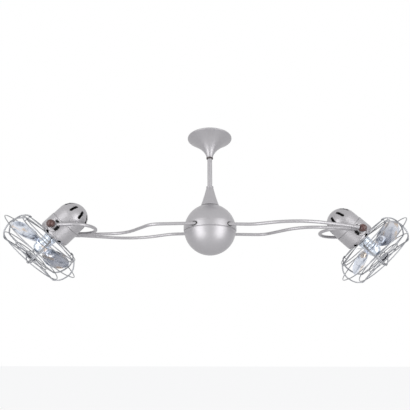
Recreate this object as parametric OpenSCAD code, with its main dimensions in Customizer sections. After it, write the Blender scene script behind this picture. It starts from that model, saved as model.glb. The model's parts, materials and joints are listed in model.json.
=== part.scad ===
/* [Ceiling mount] */
// Distance from the ceiling face down to the centre of the ball hub
drop = 327; // [300:1:600]
// Radius of the canopy rim at the ceiling
canopy_r = 76; // [66:1:90]
// Depth of the canopy from the ceiling to its neck
canopy_depth = 74; // [68:1:100]
// Sheet thickness of the canopy
canopy_wall = 1.5; // [1:0.1:2.5]
// Distance between the two ceiling screws
screw_spacing = 88.9; // [70:0.1:100]
// Radius of the ceiling screw shanks
screw_r = 2.4; // [1.5:0.1:3]
// Thickness of the ceiling plate
plate_t = 3; // [2:0.1:5]
// Radius of the hanger ball
hanger_r = 17; // [14:0.5:20]

/* [Downrod and neck] */
// Outer radius of the downrod
rod_r = 8; // [6:0.1:9]
// Wall of the downrod
rod_wall = 1.6; // [1:0.1:2.5]
// Outer radius of the dark collar under the canopy
collar_r = 11.5; // [10:0.1:15]
// Height of the dark collar
collar_h = 5; // [4.5:0.5:15]
// Height of the flared neck above the ball hub
neck_h = 67; // [50:1:100]
// Radius of the neck's lip at its top
neck_top_r = 12; // [9.8:0.1:13]
// Radius of the neck at its foot
neck_foot_r = 31; // [24:0.5:40]

/* [Ball hub] */
// Outer radius of the ball hub
ball_r = 82.5; // [80:0.5:100]
// Wall of the two half balls
ball_wall = 2; // [1.5:0.1:3]
// Half height of the band round the ball's middle
band_half = 10; // [9:0.1:16]
// Height of the band's middle over the ball's centre
band_at = 3; // [1:0.5:4]
// How far the band stands out from the ball
band_proud = 2; // [0.5:0.1:4]
// Radius of the fixed spindle inside the ball
spindle_r = 8; // [6:0.1:9]
// Outer radius of the spindle's bearings
bearing_r = 17.5; // [14:0.1:20]
// Width of the spindle's bearings
bearing_w = 11; // [8:0.5:14]

/* [Arms] */
// Outer radius of the arm tubes
tube_r = 5; // [4:0.1:6]
// Wall of the arm tubes
tube_wall = 1.2; // [0.8:0.1:2]
// Distance from the ball's axis to a head's pivot
reach = 471; // [440:1:560]
// Sideways offset of each head's centre
head_offset = 31.5; // [27:0.5:36]
// How far in from the ball's side the curved arm leaves the ball
curve_inset = 14.5; // [12.5:0.5:20.5]
// How far in from the ball's side the bowed arm leaves the ball
bow_inset = 23.5; // [16.5:0.5:27.5]
// Downward slope of the arms in degrees
droop = 1.1; // [0:0.02:3]
// Height of the arms over the ball's centre, at the ball's axis
arm_rise = 3; // [2:0.1:5]
// Radius of the yoke's loop, from the head's centre to the tube's centre
yoke_r = 56.5; // [56:0.1:60]
// Straight part of the yoke behind the pivot
yoke_leg = 54.5; // [48:0.5:60]

/* [Heads] */
// Downward tilt of the left head
tilt_left = 47.5; // [0:0.5:90]
// Downward tilt of the right head
tilt_right = 45; // [0:0.5:90]
// Radius of the front motor shell
motor_r = 50; // [49:0.1:50.5]
// Step from the front shell down to the rear shell
shell_step = 1.5; // [0.5:0.1:2.5]
// Distance from the pivot to the motor's front face
motor_front = 29; // [27:0.5:34]
// Distance from the pivot back to the seam of the shells
motor_seam = 24; // [22:0.5:26]
// Length of the rear shell's straight part
rear_straight = 26; // [22:0.5:34]
// Thickness of the motor shells
shell_wall = 2; // [1.5:0.1:3]
// Number of vent slots in the rear dome
slot_count = 8; // [5:1:9]
// Width of a vent slot
slot_w = 8; // [4:0.1:9]
// Number of round holes round the front edge
hole_count = 6; // [4:1:8]
// Radius of those round holes
hole_r = 5.8; // [3:0.1:6.2]
// Radius of the dark pivot recess
recess_r = 19.5; // [17:0.5:21]
// Radius of the wooden knobs
knob_r = 12.5; // [10:0.1:14]
// Radius of the pivot studs
stud_r = 4; // [3:0.1:5]

/* [Blades] */
// Number of blades
blade_count = 3; // [2:1:5]
// Distance from the fan's axis to a blade's tip
blade_tip = 116; // [100:1:118]
// Width of a blade
blade_w = 74; // [50:1:84]
// Pitch of a blade in degrees
blade_pitch = 38; // [8:1:42]
// Turn of the first blade from the head's lower side in degrees
blade_start = 12; // [0:1:60]
// Thickness of a blade
blade_t = 1.6; // [1:0.1:3]
// Distance from the pivot to the plane of the blades
blade_at = 68; // [66:0.5:72]
// Radius of the polished hub
hub_r = 20; // [17:0.5:21]
// Radius of the motor shaft
shaft_r = 4; // [3:0.1:5]

/* [Guard] */
// Number of petals in the wire guard
petal_count = 6; // [5:1:8]
// Radius of the guard's wire
wire_r = 1.5; // [1.2:0.1:2]
// Radius of the guard's ribs at their widest
guard_r = 130; // [126:1:145]
// How far the petal tips stand out from the ribs
tip_out = 5; // [3:1:30]
// Radius of the guard's rear ring
ring_r = 102; // [95:1:110]
// Distance from the pivot to the rear ring
ring_at = 37; // [33:0.5:38]
// Distance from the pivot to the guard's front boss
boss_at = 114; // [104:0.5:118]
// Radius of the guard's front boss
boss_r = 21; // [16:0.5:26]
// Radius of the inner ring of the guard's front
inner_ring_r = 60; // [50:1:75]
// Radius of the front ring, where the ribs meet in pairs
front_ring_r = 104; // [95:1:112]

/* [Hidden] */
$fn = 64;
// running gap between a shaft and its bore
fit = 0.05;
// gap between pieces that pass or seat on each other
gap = 0.3;
// overlap that makes a cut run through
over = 1;
function unit(v) = v / norm(v);
silver = [0.74, 0.73, 0.72];
chrome = [0.85, 0.86, 0.88];
black = [0.08, 0.08, 0.09];
steel = [0.55, 0.55, 0.57];
wood = [0.42, 0.2, 0.15];
copper = [0.7, 0.4, 0.2];

// ---- ceiling side ----
// radius of the canopy's trumpet at a depth below the ceiling
neck_r = rod_r + 2.9;
function flare(d) = neck_r + (canopy_r - neck_r) * pow(max(0, 1 - d / canopy_depth), 1.75);
canopy_steps = 24;
rim_h = 3;
plate_r = canopy_r - 20;
strap_w = 14;
strap_t = 2.5;
strap_x = 22.5;
seat_t = 4;
seat_z = -33;
hanger_z = -25;
pin_r = 3;
rod_top = -19;
rod_low = -drop + ball_r + 21;
collar_top = -canopy_depth;
grub_r = 1.6;

module ceiling_bracket() {
    color(steel) difference() {
        union() {
            translate([0, 0, -plate_t]) cylinder(r = plate_r, h = plate_t);
            for (s = [-1, 1]) translate([s * strap_x - strap_t / 2, -strap_w / 2, seat_z - seat_t])
                cube([strap_t, strap_w, -seat_z + seat_t - plate_t / 2]);
            translate([0, 0, seat_z - seat_t]) cylinder(r = strap_x, h = seat_t);
        }
        for (s = [-1, 1]) translate([s * screw_spacing / 2, 0, -plate_t - over])
            cylinder(r = screw_r + 0.2, h = plate_t + 2 * over);
        translate([0, 0, -plate_t - over]) cylinder(r = hanger_r - 1, h = plate_t + 2 * over);
        translate([0, 0, hanger_z]) sphere(r = hanger_r + fit);
    }
}

module hanger_ball() {
    color(black) difference() {
        translate([0, 0, hanger_z]) sphere(r = hanger_r);
        translate([0, 0, rod_top - 1]) cylinder(r = hanger_r + over, h = hanger_r);
        translate([0, 0, hanger_z - hanger_r - over]) cylinder(r = rod_r + fit, h = 2 * hanger_r + 2 * over);
        translate([0, 0, hanger_z]) rotate([90, 0, 0]) cylinder(r = pin_r + fit, h = 2 * hanger_r + 2, center = true);
    }
}

module cross_pin() {
    color(steel) translate([0, 0, hanger_z]) rotate([90, 0, 0])
        cylinder(r = pin_r, h = 2 * hanger_r - 4, center = true);
}

module canopy() {
    color(silver) rotate_extrude() polygon(concat(
        [[canopy_r, 0], [canopy_r, -rim_h]],
        [for (i = [1 : canopy_steps]) let (d = rim_h + (canopy_depth - rim_h) * i / canopy_steps)
            [flare(d) + canopy_wall * 0.4 * (1 - i / canopy_steps), -d]],
        [for (i = [canopy_steps : -1 : 1]) let (d = rim_h + (canopy_depth - rim_h) * i / canopy_steps)
            [max(rod_r + 2 * fit, flare(d) - canopy_wall), -d + (i == canopy_steps ? 0 : canopy_wall * 0.5)]],
        [[canopy_r - canopy_wall, -rim_h + canopy_wall], [canopy_r - canopy_wall, 0]]));
}

module collar_ring() {
    color(black) difference() {
        rotate_extrude() polygon([[rod_r + fit, collar_top], [collar_r - 0.8, collar_top],
            [collar_r, collar_top - 0.8], [collar_r, collar_top - collar_h + 1.5],
            [collar_r - 1.5, collar_top - collar_h], [rod_r + fit, collar_top - collar_h]]);
        translate([0, 0, collar_top - collar_h / 2]) rotate([-90, 0, 0]) cylinder(r = grub_r + fit, h = 2 * collar_r);
    }
}

module collar_screw() {
    color(steel) translate([0, rod_r + 2 * fit, collar_top - collar_h / 2]) rotate([-90, 0, 0])
        cylinder(r = grub_r, h = collar_r - rod_r - 0.5);
}

module downrod() {
    color(silver) difference() {
        translate([0, 0, rod_low]) cylinder(r = rod_r, h = rod_top - rod_low);
        translate([0, 0, rod_low - over]) cylinder(r = rod_r - rod_wall, h = rod_top - rod_low + 2 * over);
        translate([0, 0, hanger_z]) rotate([90, 0, 0]) cylinder(r = pin_r + fit, h = 4 * rod_r, center = true);
    }
}

// ---- flared neck and fixed spindle ----
zc = -drop;
ball_top = zc + ball_r;
neck_low = zc + sqrt(pow(ball_r, 2) - pow(neck_foot_r, 2)) + 1.2;
neck_top = ball_top - 2 + neck_h;
neck_wall = 2;
neck_steps = 20;
lip_h = 7;
function neck_at(t) = neck_top_r + (neck_foot_r - neck_top_r) * (0.85 * t + 0.15 * pow(t, 3));

module neck_cover() {
    color(silver) rotate_extrude() polygon(concat(
        [[rod_r + fit, neck_top], [neck_top_r - 1.2, neck_top], [neck_top_r, neck_top - 1.2],
            [neck_top_r, neck_top - lip_h + 1]],
        [for (i = [0 : neck_steps]) let (t = i / neck_steps)
            [neck_at(t), neck_top - lip_h - (neck_top - lip_h - neck_low) * t]],
        [for (i = [neck_steps : -1 : 1]) let (t = i / neck_steps)
            [neck_at(t) - neck_wall, neck_top - lip_h - (neck_top - lip_h - neck_low) * t]],
        [[rod_r + fit, neck_top - lip_h]]));
}

head_top = rod_low + 10;
head_low = ball_top + 3;
nut_h = 8;
nut_top = zc - ball_r + 32.5;
spindle_end = nut_top - nut_h - 4;
bore_r = spindle_r - 2.5;

module spindle() {
    color(steel) difference() {
        union() {
            translate([0, 0, head_low]) cylinder(r = rod_r + 4.7, h = head_top - head_low);
            translate([0, 0, nut_top]) cylinder(r = spindle_r, h = head_low - nut_top + over);
            translate([0, 0, spindle_end]) cylinder(r = spindle_r - 2, h = nut_top - spindle_end + over);
        }
        translate([0, 0, rod_low]) cylinder(r = rod_r + fit, h = head_top - rod_low + over);
        translate([0, 0, nut_top + 60]) cylinder(r = bore_r - 1.5, h = drop);
    }
}

module spindle_nut() {
    color(steel) difference() {
        translate([0, 0, nut_top - nut_h]) cylinder(r = spindle_r + 3.5, h = nut_h - fit, $fn = 6);
        translate([0, 0, nut_top - nut_h - over]) cylinder(r = spindle_r - 2 + fit, h = nut_h + 2 * over);
    }
}

// ---- turning hub inside the ball ----
casting_r = bearing_r + 3;
casting_top = ball_top - 26.5;
casting_low = nut_top + fit;
seat_up = casting_top - 10 - bearing_w;
brush_top = casting_top + 14;
brush_h = 8;
ring_out = casting_r + 6;
slip_h = 18;
slip_top = casting_top - 2;
band_z = zc + band_at;
spider_z = band_z - band_half + gap;
spider_t = 6;
saddle_l = 18;
saddle_half = tube_r + 2.5;
band_in = ball_r - ball_wall;
grommet_r = tube_r + 1.8;
// sideways places of the tubes where they leave the ball
curve_y = ball_r - curve_inset;
bow_y = ball_r - bow_inset;
// where the saddle of a tube at the sideways place y ends, inside the band
function saddle_end(y) = sqrt(pow(band_in, 2) - pow(y + grommet_r, 2)) - 3;

// a tube starts inside its saddle
function tube_start(y) = saddle_end(abs(y)) - saddle_l + 2;

// places a child in the plane of the arms; side is 1 for the right arm and -1 for the left
module arm_plane(side) {
    rotate([0, 0, side > 0 ? 0 : 180]) translate([0, 0, zc + arm_rise]) rotate([0, droop, 0]) children();
}

module hub_casting() {
    color(steel) difference() {
        union() {
            translate([0, 0, casting_low]) cylinder(r = casting_r, h = casting_top - casting_low);
            translate([0, 0, spider_z]) cylinder(r = band_in - fit, h = spider_t);
            for (side = [1, -1]) rotate([0, 0, side > 0 ? 0 : 180]) for (y = [curve_y, -bow_y]) intersection() {
                translate([saddle_end(abs(y)) - saddle_l, y - saddle_half, spider_z + spider_t - over])
                    cube([saddle_l, 2 * saddle_half, zc + arm_rise + tube_r + 2 - spider_z - spider_t + over]);
                translate([0, 0, spider_z]) cylinder(r = band_in - 1.6, h = 2 * band_in);
            }
        }
        translate([0, 0, casting_low - over]) cylinder(r = bearing_r - 3, h = casting_top - casting_low + 2 * over);
        translate([0, 0, seat_up]) cylinder(r = bearing_r, h = casting_top - seat_up + over);
        translate([0, 0, casting_low - over]) cylinder(r = bearing_r, h = bearing_w + over);
        for (side = [1, -1]) arm_plane(side)
            for (y = [curve_y, -bow_y]) translate([tube_start(y), y, 0]) rotate([0, 90, 0]) {
                cylinder(r = tube_r + fit, h = 2 * ball_r);
                translate([0, 0, saddle_l - 2]) cylinder(r = grommet_r + fit, h = 2 * ball_r);
            }
        for (a = [0 : 60 : 300]) rotate([0, 0, a + 30]) translate([casting_r + 14, 0, spider_z - over])
            cylinder(r = 8, h = spider_t + 2 * over);
    }
}

module hub_bearings() {
    color(steel) for (z = [seat_up, casting_low]) translate([0, 0, z]) difference() {
        cylinder(r = bearing_r - fit / 2, h = bearing_w);
        translate([0, 0, -over]) cylinder(r = spindle_r + fit / 2, h = bearing_w + 2 * over);
    }
}

module slip_ring() {
    color(copper) translate([0, 0, slip_top - slip_h]) difference() {
        union() {
            cylinder(r = ring_out - 1, h = slip_h);
            for (i = [0 : 2]) translate([0, 0, 2 + i * 5.5]) cylinder(r = ring_out, h = 3);
        }
        translate([0, 0, -over]) cylinder(r = casting_r + fit, h = slip_h + 2 * over);
    }
}

module brush_block() {
    color(black) difference() {
        union() {
            translate([0, 0, brush_top - brush_h]) cylinder(r = spindle_r + 6, h = brush_h);
            translate([0, -5, brush_top - brush_h]) cube([ring_out + gap + 6, 10, brush_h - 2]);
            translate([ring_out + gap, -5, slip_top - slip_h]) cube([6, 10, brush_top - slip_top + slip_h - 2]);
        }
        translate([0, 0, brush_top - brush_h - over]) cylinder(r = spindle_r + fit, h = brush_h + 2 * over);
    }
}

mouth_r = rod_r + 4.7 + 4;

module ball_upper() {
    color(silver) difference() {
        translate([0, 0, zc]) sphere(r = ball_r);
        translate([0, 0, zc]) sphere(r = ball_r - ball_wall);
        translate([0, 0, band_z - 2 * ball_r + band_half]) cylinder(r = 2 * ball_r, h = 2 * ball_r);
        translate([0, 0, zc]) cylinder(r = mouth_r, h = 2 * ball_r);
    }
}

module ball_lower() {
    color(silver) difference() {
        translate([0, 0, zc]) sphere(r = ball_r);
        translate([0, 0, zc]) sphere(r = ball_r - ball_wall);
        translate([0, 0, band_z - band_half]) cylinder(r = 2 * ball_r, h = 2 * ball_r);
    }
}

band_out = ball_r + band_proud;
module ball_band() {
    color(silver) difference() {
        translate([0, 0, band_z]) rotate_extrude() polygon([[band_in, -band_half], [band_out - 1.2, -band_half],
            [band_out, -band_half + 1.2], [band_out, band_half - 1.2], [band_out - 1.2, band_half],
            [band_in, band_half]]);
        for (side = [1, -1]) arm_plane(side)
            for (y = [curve_y, -bow_y]) translate([saddle_end(abs(y)), y, 0]) rotate([0, 90, 0])
                cylinder(r = grommet_r + fit, h = ball_r);
    }
}

module arm_grommets() {
    color(black) for (side = [1, -1]) for (y = [curve_y, -bow_y]) difference() {
        intersection() {
            arm_plane(side) translate([saddle_end(abs(y)) + gap, y, 0]) rotate([0, 90, 0])
                cylinder(r = grommet_r, h = ball_r);
            translate([0, 0, band_z - band_half]) cylinder(r = band_out + 1, h = 2 * band_half);
        }
        translate([0, 0, band_z - 2 * band_half]) cylinder(r = band_in - 2, h = 4 * band_half);
        arm_plane(side) translate([tube_start(y), y, 0]) rotate([0, 90, 0]) cylinder(r = tube_r + fit, h = 2 * ball_r);
    }
}

// ---- arms: straight runs and round bends, laid flat in the plane of the arms ----
// points round a bend of radius b from p, turning by a from heading h
function bend_pts(p, h, b, a) = let (n = ceil(abs(a) / 4.5)) [for (i = [1 : n]) let (g = h + a * i / n)
    p + sign(a) * b * [sin(g) - sin(h), cos(h) - cos(g)]];
function last(v) = v[len(v) - 1];
function ahead(p, h, l) = p + l * [cos(h), sin(h)];
// the whole line: a run to x1, a bend of radius b1 outwards by a, a run, a bend of radius b2 back
// to the heading h, and a run that ends at the place end; the middle run's length follows
function mid_run(y, x1, b1, a, b2, h, end) = (y - end[1] - b1 * (1 - cos(a)) + b2 * (cos(a) - cos(h))
    + (end[0] - x1 - b1 * sin(a) - b2 * (sin(a) + sin(h))) * tan(h)) / (sin(a) + cos(a) * tan(h));
function arm_line(y, x1, b1, a, b2, h, end) = let (
    p1 = [x1, y], q1 = bend_pts(p1, 0, b1, -a), p2 = ahead(last(q1), -a, mid_run(y, x1, b1, a, b2, h, end)),
    q2 = bend_pts(p2, -a, b2, a + h))
    concat([[tube_start(y) + gap, y], p1], q1, [p2], q2, [end]);
tube_sides = 12;
module tube_sweep(p, r, more = 0) {
    n = len(p);
    m = tube_sides;
    ends = concat([p[0] - more * unit(p[1] - p[0])], [for (i = [1 : n - 2]) p[i]],
        [p[n - 1] + more * unit(p[n - 1] - p[n - 2])]);
    pts = [for (i = [0 : n - 1]) let (t = unit(p[min(i + 1, n - 1)] - p[max(i - 1, 0)]))
        for (k = [0 : m - 1]) let (c = r * cos(360 * k / m), w = r * sin(360 * k / m))
            [ends[i][0] - t[1] * c, ends[i][1] + t[0] * c, w]];
    faces = concat([[for (k = [0 : m - 1]) k]],
        [for (i = [0 : n - 2]) for (k = [0 : m - 1]) let (a = i * m + k, b = i * m + (k + 1) % m) [a, a + m, b + m, b]],
        [[for (k = [m - 1 : -1 : 0]) (n - 1) * m + k]]);
    polyhedron(pts, faces, convexity = 10);
}
module tube_solid(p) {
    difference() {
        tube_sweep(p, tube_r);
        tube_sweep(p, tube_r - tube_wall, over);
    }
}
// a straight bore along a line's last run
module end_bore(p, r) {
    n = len(p);
    d = unit(p[n - 1] - p[n - 2]);
    translate([p[n - 1][0], p[n - 1][1], 0]) rotate([0, 0, atan2(d[1], d[0])]) rotate([0, -90, 0])
        translate([0, 0, -2 * fit]) cylinder(r = r, h = 2 * joint_l);
}
module run(l, r) {
    rotate([0, 90, 0]) cylinder(r = r, h = l);
}

joint_x = reach - 36;
joint_l = 22;
joint_y = head_offset - yoke_r;
// the tubes end side by side next to the yoke's leg
side_step = 2 * tube_r + 1.5;
curve_end = [joint_x + joint_l - 4, joint_y - side_step];
bow_end = [joint_x + joint_l - 8, joint_y - 2 * side_step];
// the curved arm swings across to the near side of its head
curve_bend_x = 154;
curve_out_r = 60;
curve_turn = 46;
curve_back_r = 120;
curve_line = arm_line(curve_y, curve_bend_x, curve_out_r, curve_turn, curve_back_r, 0, curve_end);
// the bowed arm swings outwards and comes back to the same side of its head
bow_bend_x = 110;
bow_out_r = 100;
bow_turn = 24;
bow_back_r = 210;
bow_heading = 20;
bow_line = arm_line(-bow_y, bow_bend_x, bow_out_r, bow_turn, bow_back_r, bow_heading, bow_end);

module arm_curve(side) {
    color(silver) arm_plane(side) tube_solid(curve_line);
}
module arm_bow(side) {
    color(silver) arm_plane(side) tube_solid(bow_line);
}

eye_r = 13;
eye_t = 6;
eye_in = yoke_r - 3;
leg_x = reach - yoke_leg;
module yoke(side) {
    color(silver) arm_plane(side) difference() {
        union() {
            translate([leg_x, head_offset, 0]) rotate([0, 0, 90]) rotate_extrude(angle = 180)
                translate([yoke_r, 0]) circle(r = tube_r, $fn = 32);
            for (s = [-1, 1]) translate([leg_x, head_offset + s * yoke_r, 0]) run(yoke_leg - eye_r / 2, tube_r);
            for (s = [-1, 1]) translate([reach, head_offset + s * (eye_in + eye_t / 2), 0]) rotate([90, 0, 0])
                cylinder(r = eye_r, h = eye_t, center = true);
        }
        translate([reach, head_offset, 0]) rotate([90, 0, 0]) cylinder(r = stud_r + fit, h = 3 * yoke_r, center = true);
        for (s = [-1, 1]) translate([reach, head_offset + s * (eye_in - eye_r), 0]) rotate([90, 0, 0])
            cylinder(r = eye_r + gap, h = 2 * eye_r, center = true);
        for (s = [-1, 1]) translate([reach, head_offset + s * (eye_in + eye_t + eye_r), 0]) rotate([90, 0, 0])
            cylinder(r = eye_r + gap, h = 2 * eye_r, center = true);
    }
}

joint_half = tube_r + 0.9;
joint_low = bow_end[1] - tube_r - 2;
module arm_joint(side) {
    color(silver) arm_plane(side) difference() {
        translate([0, 0, -joint_half]) linear_extrude(height = 2 * joint_half) polygon([
            [joint_x, joint_y], [joint_x, joint_low - (bow_end[0] - joint_x) * tan(bow_heading)],
            [bow_end[0], joint_low], [joint_x + joint_l, joint_low + 3], [joint_x + joint_l, joint_y]]);
        translate([0, joint_y, 0]) run(reach + 50, tube_r + fit);
        end_bore(curve_line, tube_r + fit);
        end_bore(bow_line, tube_r + fit);
    }
}

// ---- fan heads: X is the fan's axis towards the front, Y is the pivot axis ----
module head_place(side) {
    arm_plane(side) translate([reach, head_offset, 0]) rotate([0, (side > 0 ? tilt_right : tilt_left) - droop, 0])
        children();
}
module along() { rotate([0, 90, 0]) children(); }

edge_r = 13;
rear_r = motor_r - shell_step;
dome_x = -motor_seam - rear_straight;
recess_floor = motor_r - 5.5;
floor_t = 4;
shaft_hole = 12;
race_r = 9;
race_w = 7;

function arc_pts(cx, cy, r, a0, a1, n) = [for (i = [0 : n]) let (a = a0 + (a1 - a0) * i / n) [cx + r * cos(a), cy + r * sin(a)]];

module front_shell_profile() {
    polygon(concat([[motor_r, -motor_seam]],
        arc_pts(motor_r - edge_r, motor_front - edge_r, edge_r, 0, 90, 8),
        [[shaft_hole, motor_front], [shaft_hole, motor_front - shell_wall]],
        arc_pts(motor_r - edge_r, motor_front - edge_r, edge_r - shell_wall, 90, 0, 8),
        [[motor_r - shell_wall, -motor_seam]]));
}

module housing_front(side) {
    color(silver) head_place(side) difference() {
        union() {
            along() rotate_extrude() front_shell_profile();
            along() translate([0, 0, motor_front - race_w - 3]) difference() {
                cylinder(r = race_r + 4, h = race_w + 3 - shell_wall / 2);
                translate([0, 0, -over]) cylinder(r = race_r - 2, h = race_w + 5 + over);
            }
            intersection() {
                for (s = [-90, 90]) rotate([s, 0, 0]) translate([0, 0, recess_floor - floor_t])
                    cylinder(r = recess_r + 2.5, h = motor_r - recess_floor + floor_t);
                along() translate([0, 0, -motor_seam]) cylinder(r = motor_r - 0.5, h = motor_seam + motor_front - shell_wall);
            }
        }
        for (s = [-90, 90]) rotate([s, 0, 0]) {
            translate([0, 0, recess_floor]) cylinder(r = recess_r, h = motor_r);
            cylinder(r = stud_r + fit, h = 2 * motor_r);
        }
        along() translate([0, 0, motor_front - race_w - 3 - over]) cylinder(r = race_r + fit / 2, h = race_w + over);
        along() cylinder(r = race_r - 2, h = 2 * motor_r);
        for (i = [0 : hole_count - 1]) rotate([360 / hole_count * (i + 0.5), 0, 0])
            translate([motor_front - edge_r, 0, motor_r - edge_r]) rotate([0, 45, 0])
                cylinder(r = hole_r, h = 2 * edge_r);
    }
}

// a slot with round ends, cut along a meridian of the dome
module vent_slot() {
    slot_l = 22;
    slot_lean = 35;
    rotate([0, -slot_lean, 0]) {
        translate([-slot_l / 2, -slot_w / 2, 20]) cube([slot_l, slot_w, motor_r]);
        for (s = [-1, 1]) translate([s * slot_l / 2, 0, 20]) cylinder(r = slot_w / 2, h = motor_r);
    }
}

// outline of the rear shell: a straight part and a round dome, with the bearing's seat inside
module rear_shell_profile() {
    inner_r = rear_r - shell_wall;
    seat = race_r + 3;
    dome_a = asin(seat / inner_r);
    polygon(concat([[rear_r, rear_straight]],
        arc_pts(0, 0, rear_r, 0, -90, 14),
        [[0, -18 - race_w - 2], [race_r + fit / 2, -18 - race_w - 2], [race_r + fit / 2, -18], [seat, -18]],
        arc_pts(0, 0, inner_r, -90 + dome_a, 0, 11),
        [[inner_r, rear_straight]]));
}

module housing_rear(side) {
    color(silver) head_place(side) translate([dome_x, 0, 0]) difference() {
        along() rotate_extrude() rear_shell_profile();
        for (i = [0 : slot_count - 1]) rotate([360 / slot_count * i, 0, 0]) vent_slot();
    }
}

core_l = 24;
core_x = dome_x + 0.5;
module stator(side) {
    color(steel) head_place(side) along() translate([0, 0, core_x]) difference() {
        cylinder(r = rear_r - shell_wall - fit, h = core_l);
        translate([0, 0, -over]) cylinder(r = 26, h = core_l + 2 * over);
    }
}
wind_h = 9;
wind_out = recess_floor - floor_t - 1;
module winding(side) {
    color(copper) head_place(side) along() for (z = [core_x - wind_h, core_x + core_l])
        translate([0, 0, z]) rotate_extrude() polygon([[29, 1], [30, 0], [wind_out - 1, 0], [wind_out, 1],
            [wind_out, wind_h - 1], [wind_out - 1, wind_h], [30, wind_h], [29, wind_h - 1]]);
}
module bearings(side) {
    color(steel) head_place(side) along() for (z = [motor_front - race_w - 3 - fit, dome_x - 18 - race_w + fit])
        translate([0, 0, z]) difference() {
            cylinder(r = race_r - fit / 2, h = race_w);
            translate([0, 0, -over]) cylinder(r = shaft_r + fit / 2, h = race_w + 2 * over);
        }
}
module rotor(side) {
    color(steel) head_place(side) along() {
        translate([0, 0, core_x]) cylinder(r = 26 - gap, h = core_l);
        translate([0, 0, dome_x - 18 - race_w]) cylinder(r = shaft_r, h = blade_at + 8 - dome_x + 18 + race_w);
    }
}

module pivot_bushes(side) {
    color(black) head_place(side) for (s = [-90, 90]) rotate([s, 0, 0]) difference() {
        union() {
            translate([0, 0, recess_floor]) cylinder(r = recess_r - gap, h = 2);
            translate([0, 0, recess_floor]) cylinder(r = 10, h = eye_in - recess_floor - 0.1);
        }
        cylinder(r = stud_r + fit, h = 2 * motor_r);
    }
}

stud_end = eye_in + eye_t + 12;
module pivot_studs(side) {
    color(steel) head_place(side) for (s = [-90, 90]) rotate([s, 0, 0]) {
        translate([0, 0, recess_floor - floor_t - 3]) cylinder(r = stud_r + 3, h = 3);
        translate([0, 0, recess_floor - floor_t - 1]) cylinder(r = stud_r, h = stud_end - recess_floor + floor_t + 1);
    }
}

knob_base = eye_in + eye_t + gap;
knob_mid = knob_base + knob_r * 0.72;
// near is the side of the arms' ends
module knob(side, near) {
    color(wood) head_place(side) rotate([near ? 90 : -90, 0, 0]) difference() {
        translate([0, 0, knob_mid]) sphere(r = knob_r);
        translate([0, 0, knob_base - 2 * knob_r]) cylinder(r = 2 * knob_r, h = 2 * knob_r);
        translate([0, 0, knob_base - over]) cylinder(r = stud_r + fit, h = stud_end - knob_base + over + 0.5);
    }
}

// ---- wire guard ----
guard_plate_r = 34;
spoke_in = guard_plate_r - 4;
spoke_rise = ring_at - motor_front - 2;
// from the first rear ring to the second
ring_step = 8;
module wire_ring(r) {
    rotate_extrude() translate([r, 0]) circle(r = wire_r, $fn = 16);
}
module guard_rear(side) {
    color(chrome) head_place(side) along() union() {
        translate([0, 0, motor_front]) difference() {
            cylinder(r = guard_plate_r, h = 2);
            translate([0, 0, -over]) cylinder(r = hub_r + 3, h = 2 + 2 * over);
        }
        for (z = [0, ring_step]) translate([0, 0, ring_at + z]) wire_ring(ring_r);
        for (i = [0 : petal_count - 1]) rotate([0, 0, 360 / petal_count * i]) {
            translate([spoke_in, 0, motor_front + 2]) rotate([0, 90 - atan2(spoke_rise, ring_r - spoke_in), 0])
                cylinder(r = wire_r, h = norm([ring_r - spoke_in, spoke_rise]), $fn = 16);
            translate([ring_r, 0, ring_at]) cylinder(r = wire_r * 0.8, h = ring_step, $fn = 16);
        }
    }
}

// points of one rib, from the front boss over the rim to the rear ring:
// angle from the middle of its petal, radius and distance along the axis
front_rise = 2;
petal_half = 180 / petal_count;
mid_at = (boss_at + ring_at) / 2;
// ribs of neighbouring petals run side by side from the front ring outwards
function pair_a(r) = petal_half - asin((wire_r + gap) / r);
rear_a = ring_at - 2 * wire_r - gap;
rib_pts = [
    [petal_half * 0.25, 13, boss_at],
    [petal_half * 0.3, 30, boss_at + front_rise * 0.4],
    [petal_half * 0.58, 52, boss_at + front_rise * 0.8],
    [petal_half * 0.82, front_ring_r - 28, boss_at + front_rise],
    [pair_a(front_ring_r) - 0.8, front_ring_r - 9, boss_at + front_rise],
    [pair_a(front_ring_r), front_ring_r, boss_at + front_rise],
    [pair_a(front_ring_r), front_ring_r + 4, boss_at + front_rise - 1.2],
    [pair_a(guard_r), guard_r - 17, boss_at - 4],
    [pair_a(guard_r), guard_r - 9, boss_at - 12],
    [pair_a(guard_r), guard_r - 3, boss_at - 24],
    [pair_a(guard_r), guard_r, mid_at],
    [pair_a(guard_r), guard_r, ring_at + 30],
    [pair_a(guard_r), guard_r - 4, ring_at + 17],
    [pair_a(guard_r), guard_r - 12, ring_at + 7],
    [pair_a(ring_r), ring_r + 6, rear_a + 2],
    [pair_a(ring_r), ring_r - 3, rear_a]];
// a smooth curve through the points, two steps between each pair
function cr(a, b, c, d, t) = 0.5 * ((2 * b) + (c - a) * t + (2 * a - 5 * b + 4 * c - d) * t * t + (3 * b - a - 3 * c + d) * t * t * t);
function smooth(p, s) = [for (i = [0 : len(p) - 2]) for (k = [0 : s - 1])
    let (a = p[max(0, i - 1)], b = p[i], c = p[i + 1], d = p[min(len(p) - 1, i + 2)]) cr(a, b, c, d, k / s)];
function to_xyz(q) = [q[1] * cos(q[0]), q[1] * sin(q[0]), q[2]];
rib_line = concat([for (q = smooth(rib_pts, 2)) to_xyz(q)], [to_xyz(rib_pts[len(rib_pts) - 1])]);
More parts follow.
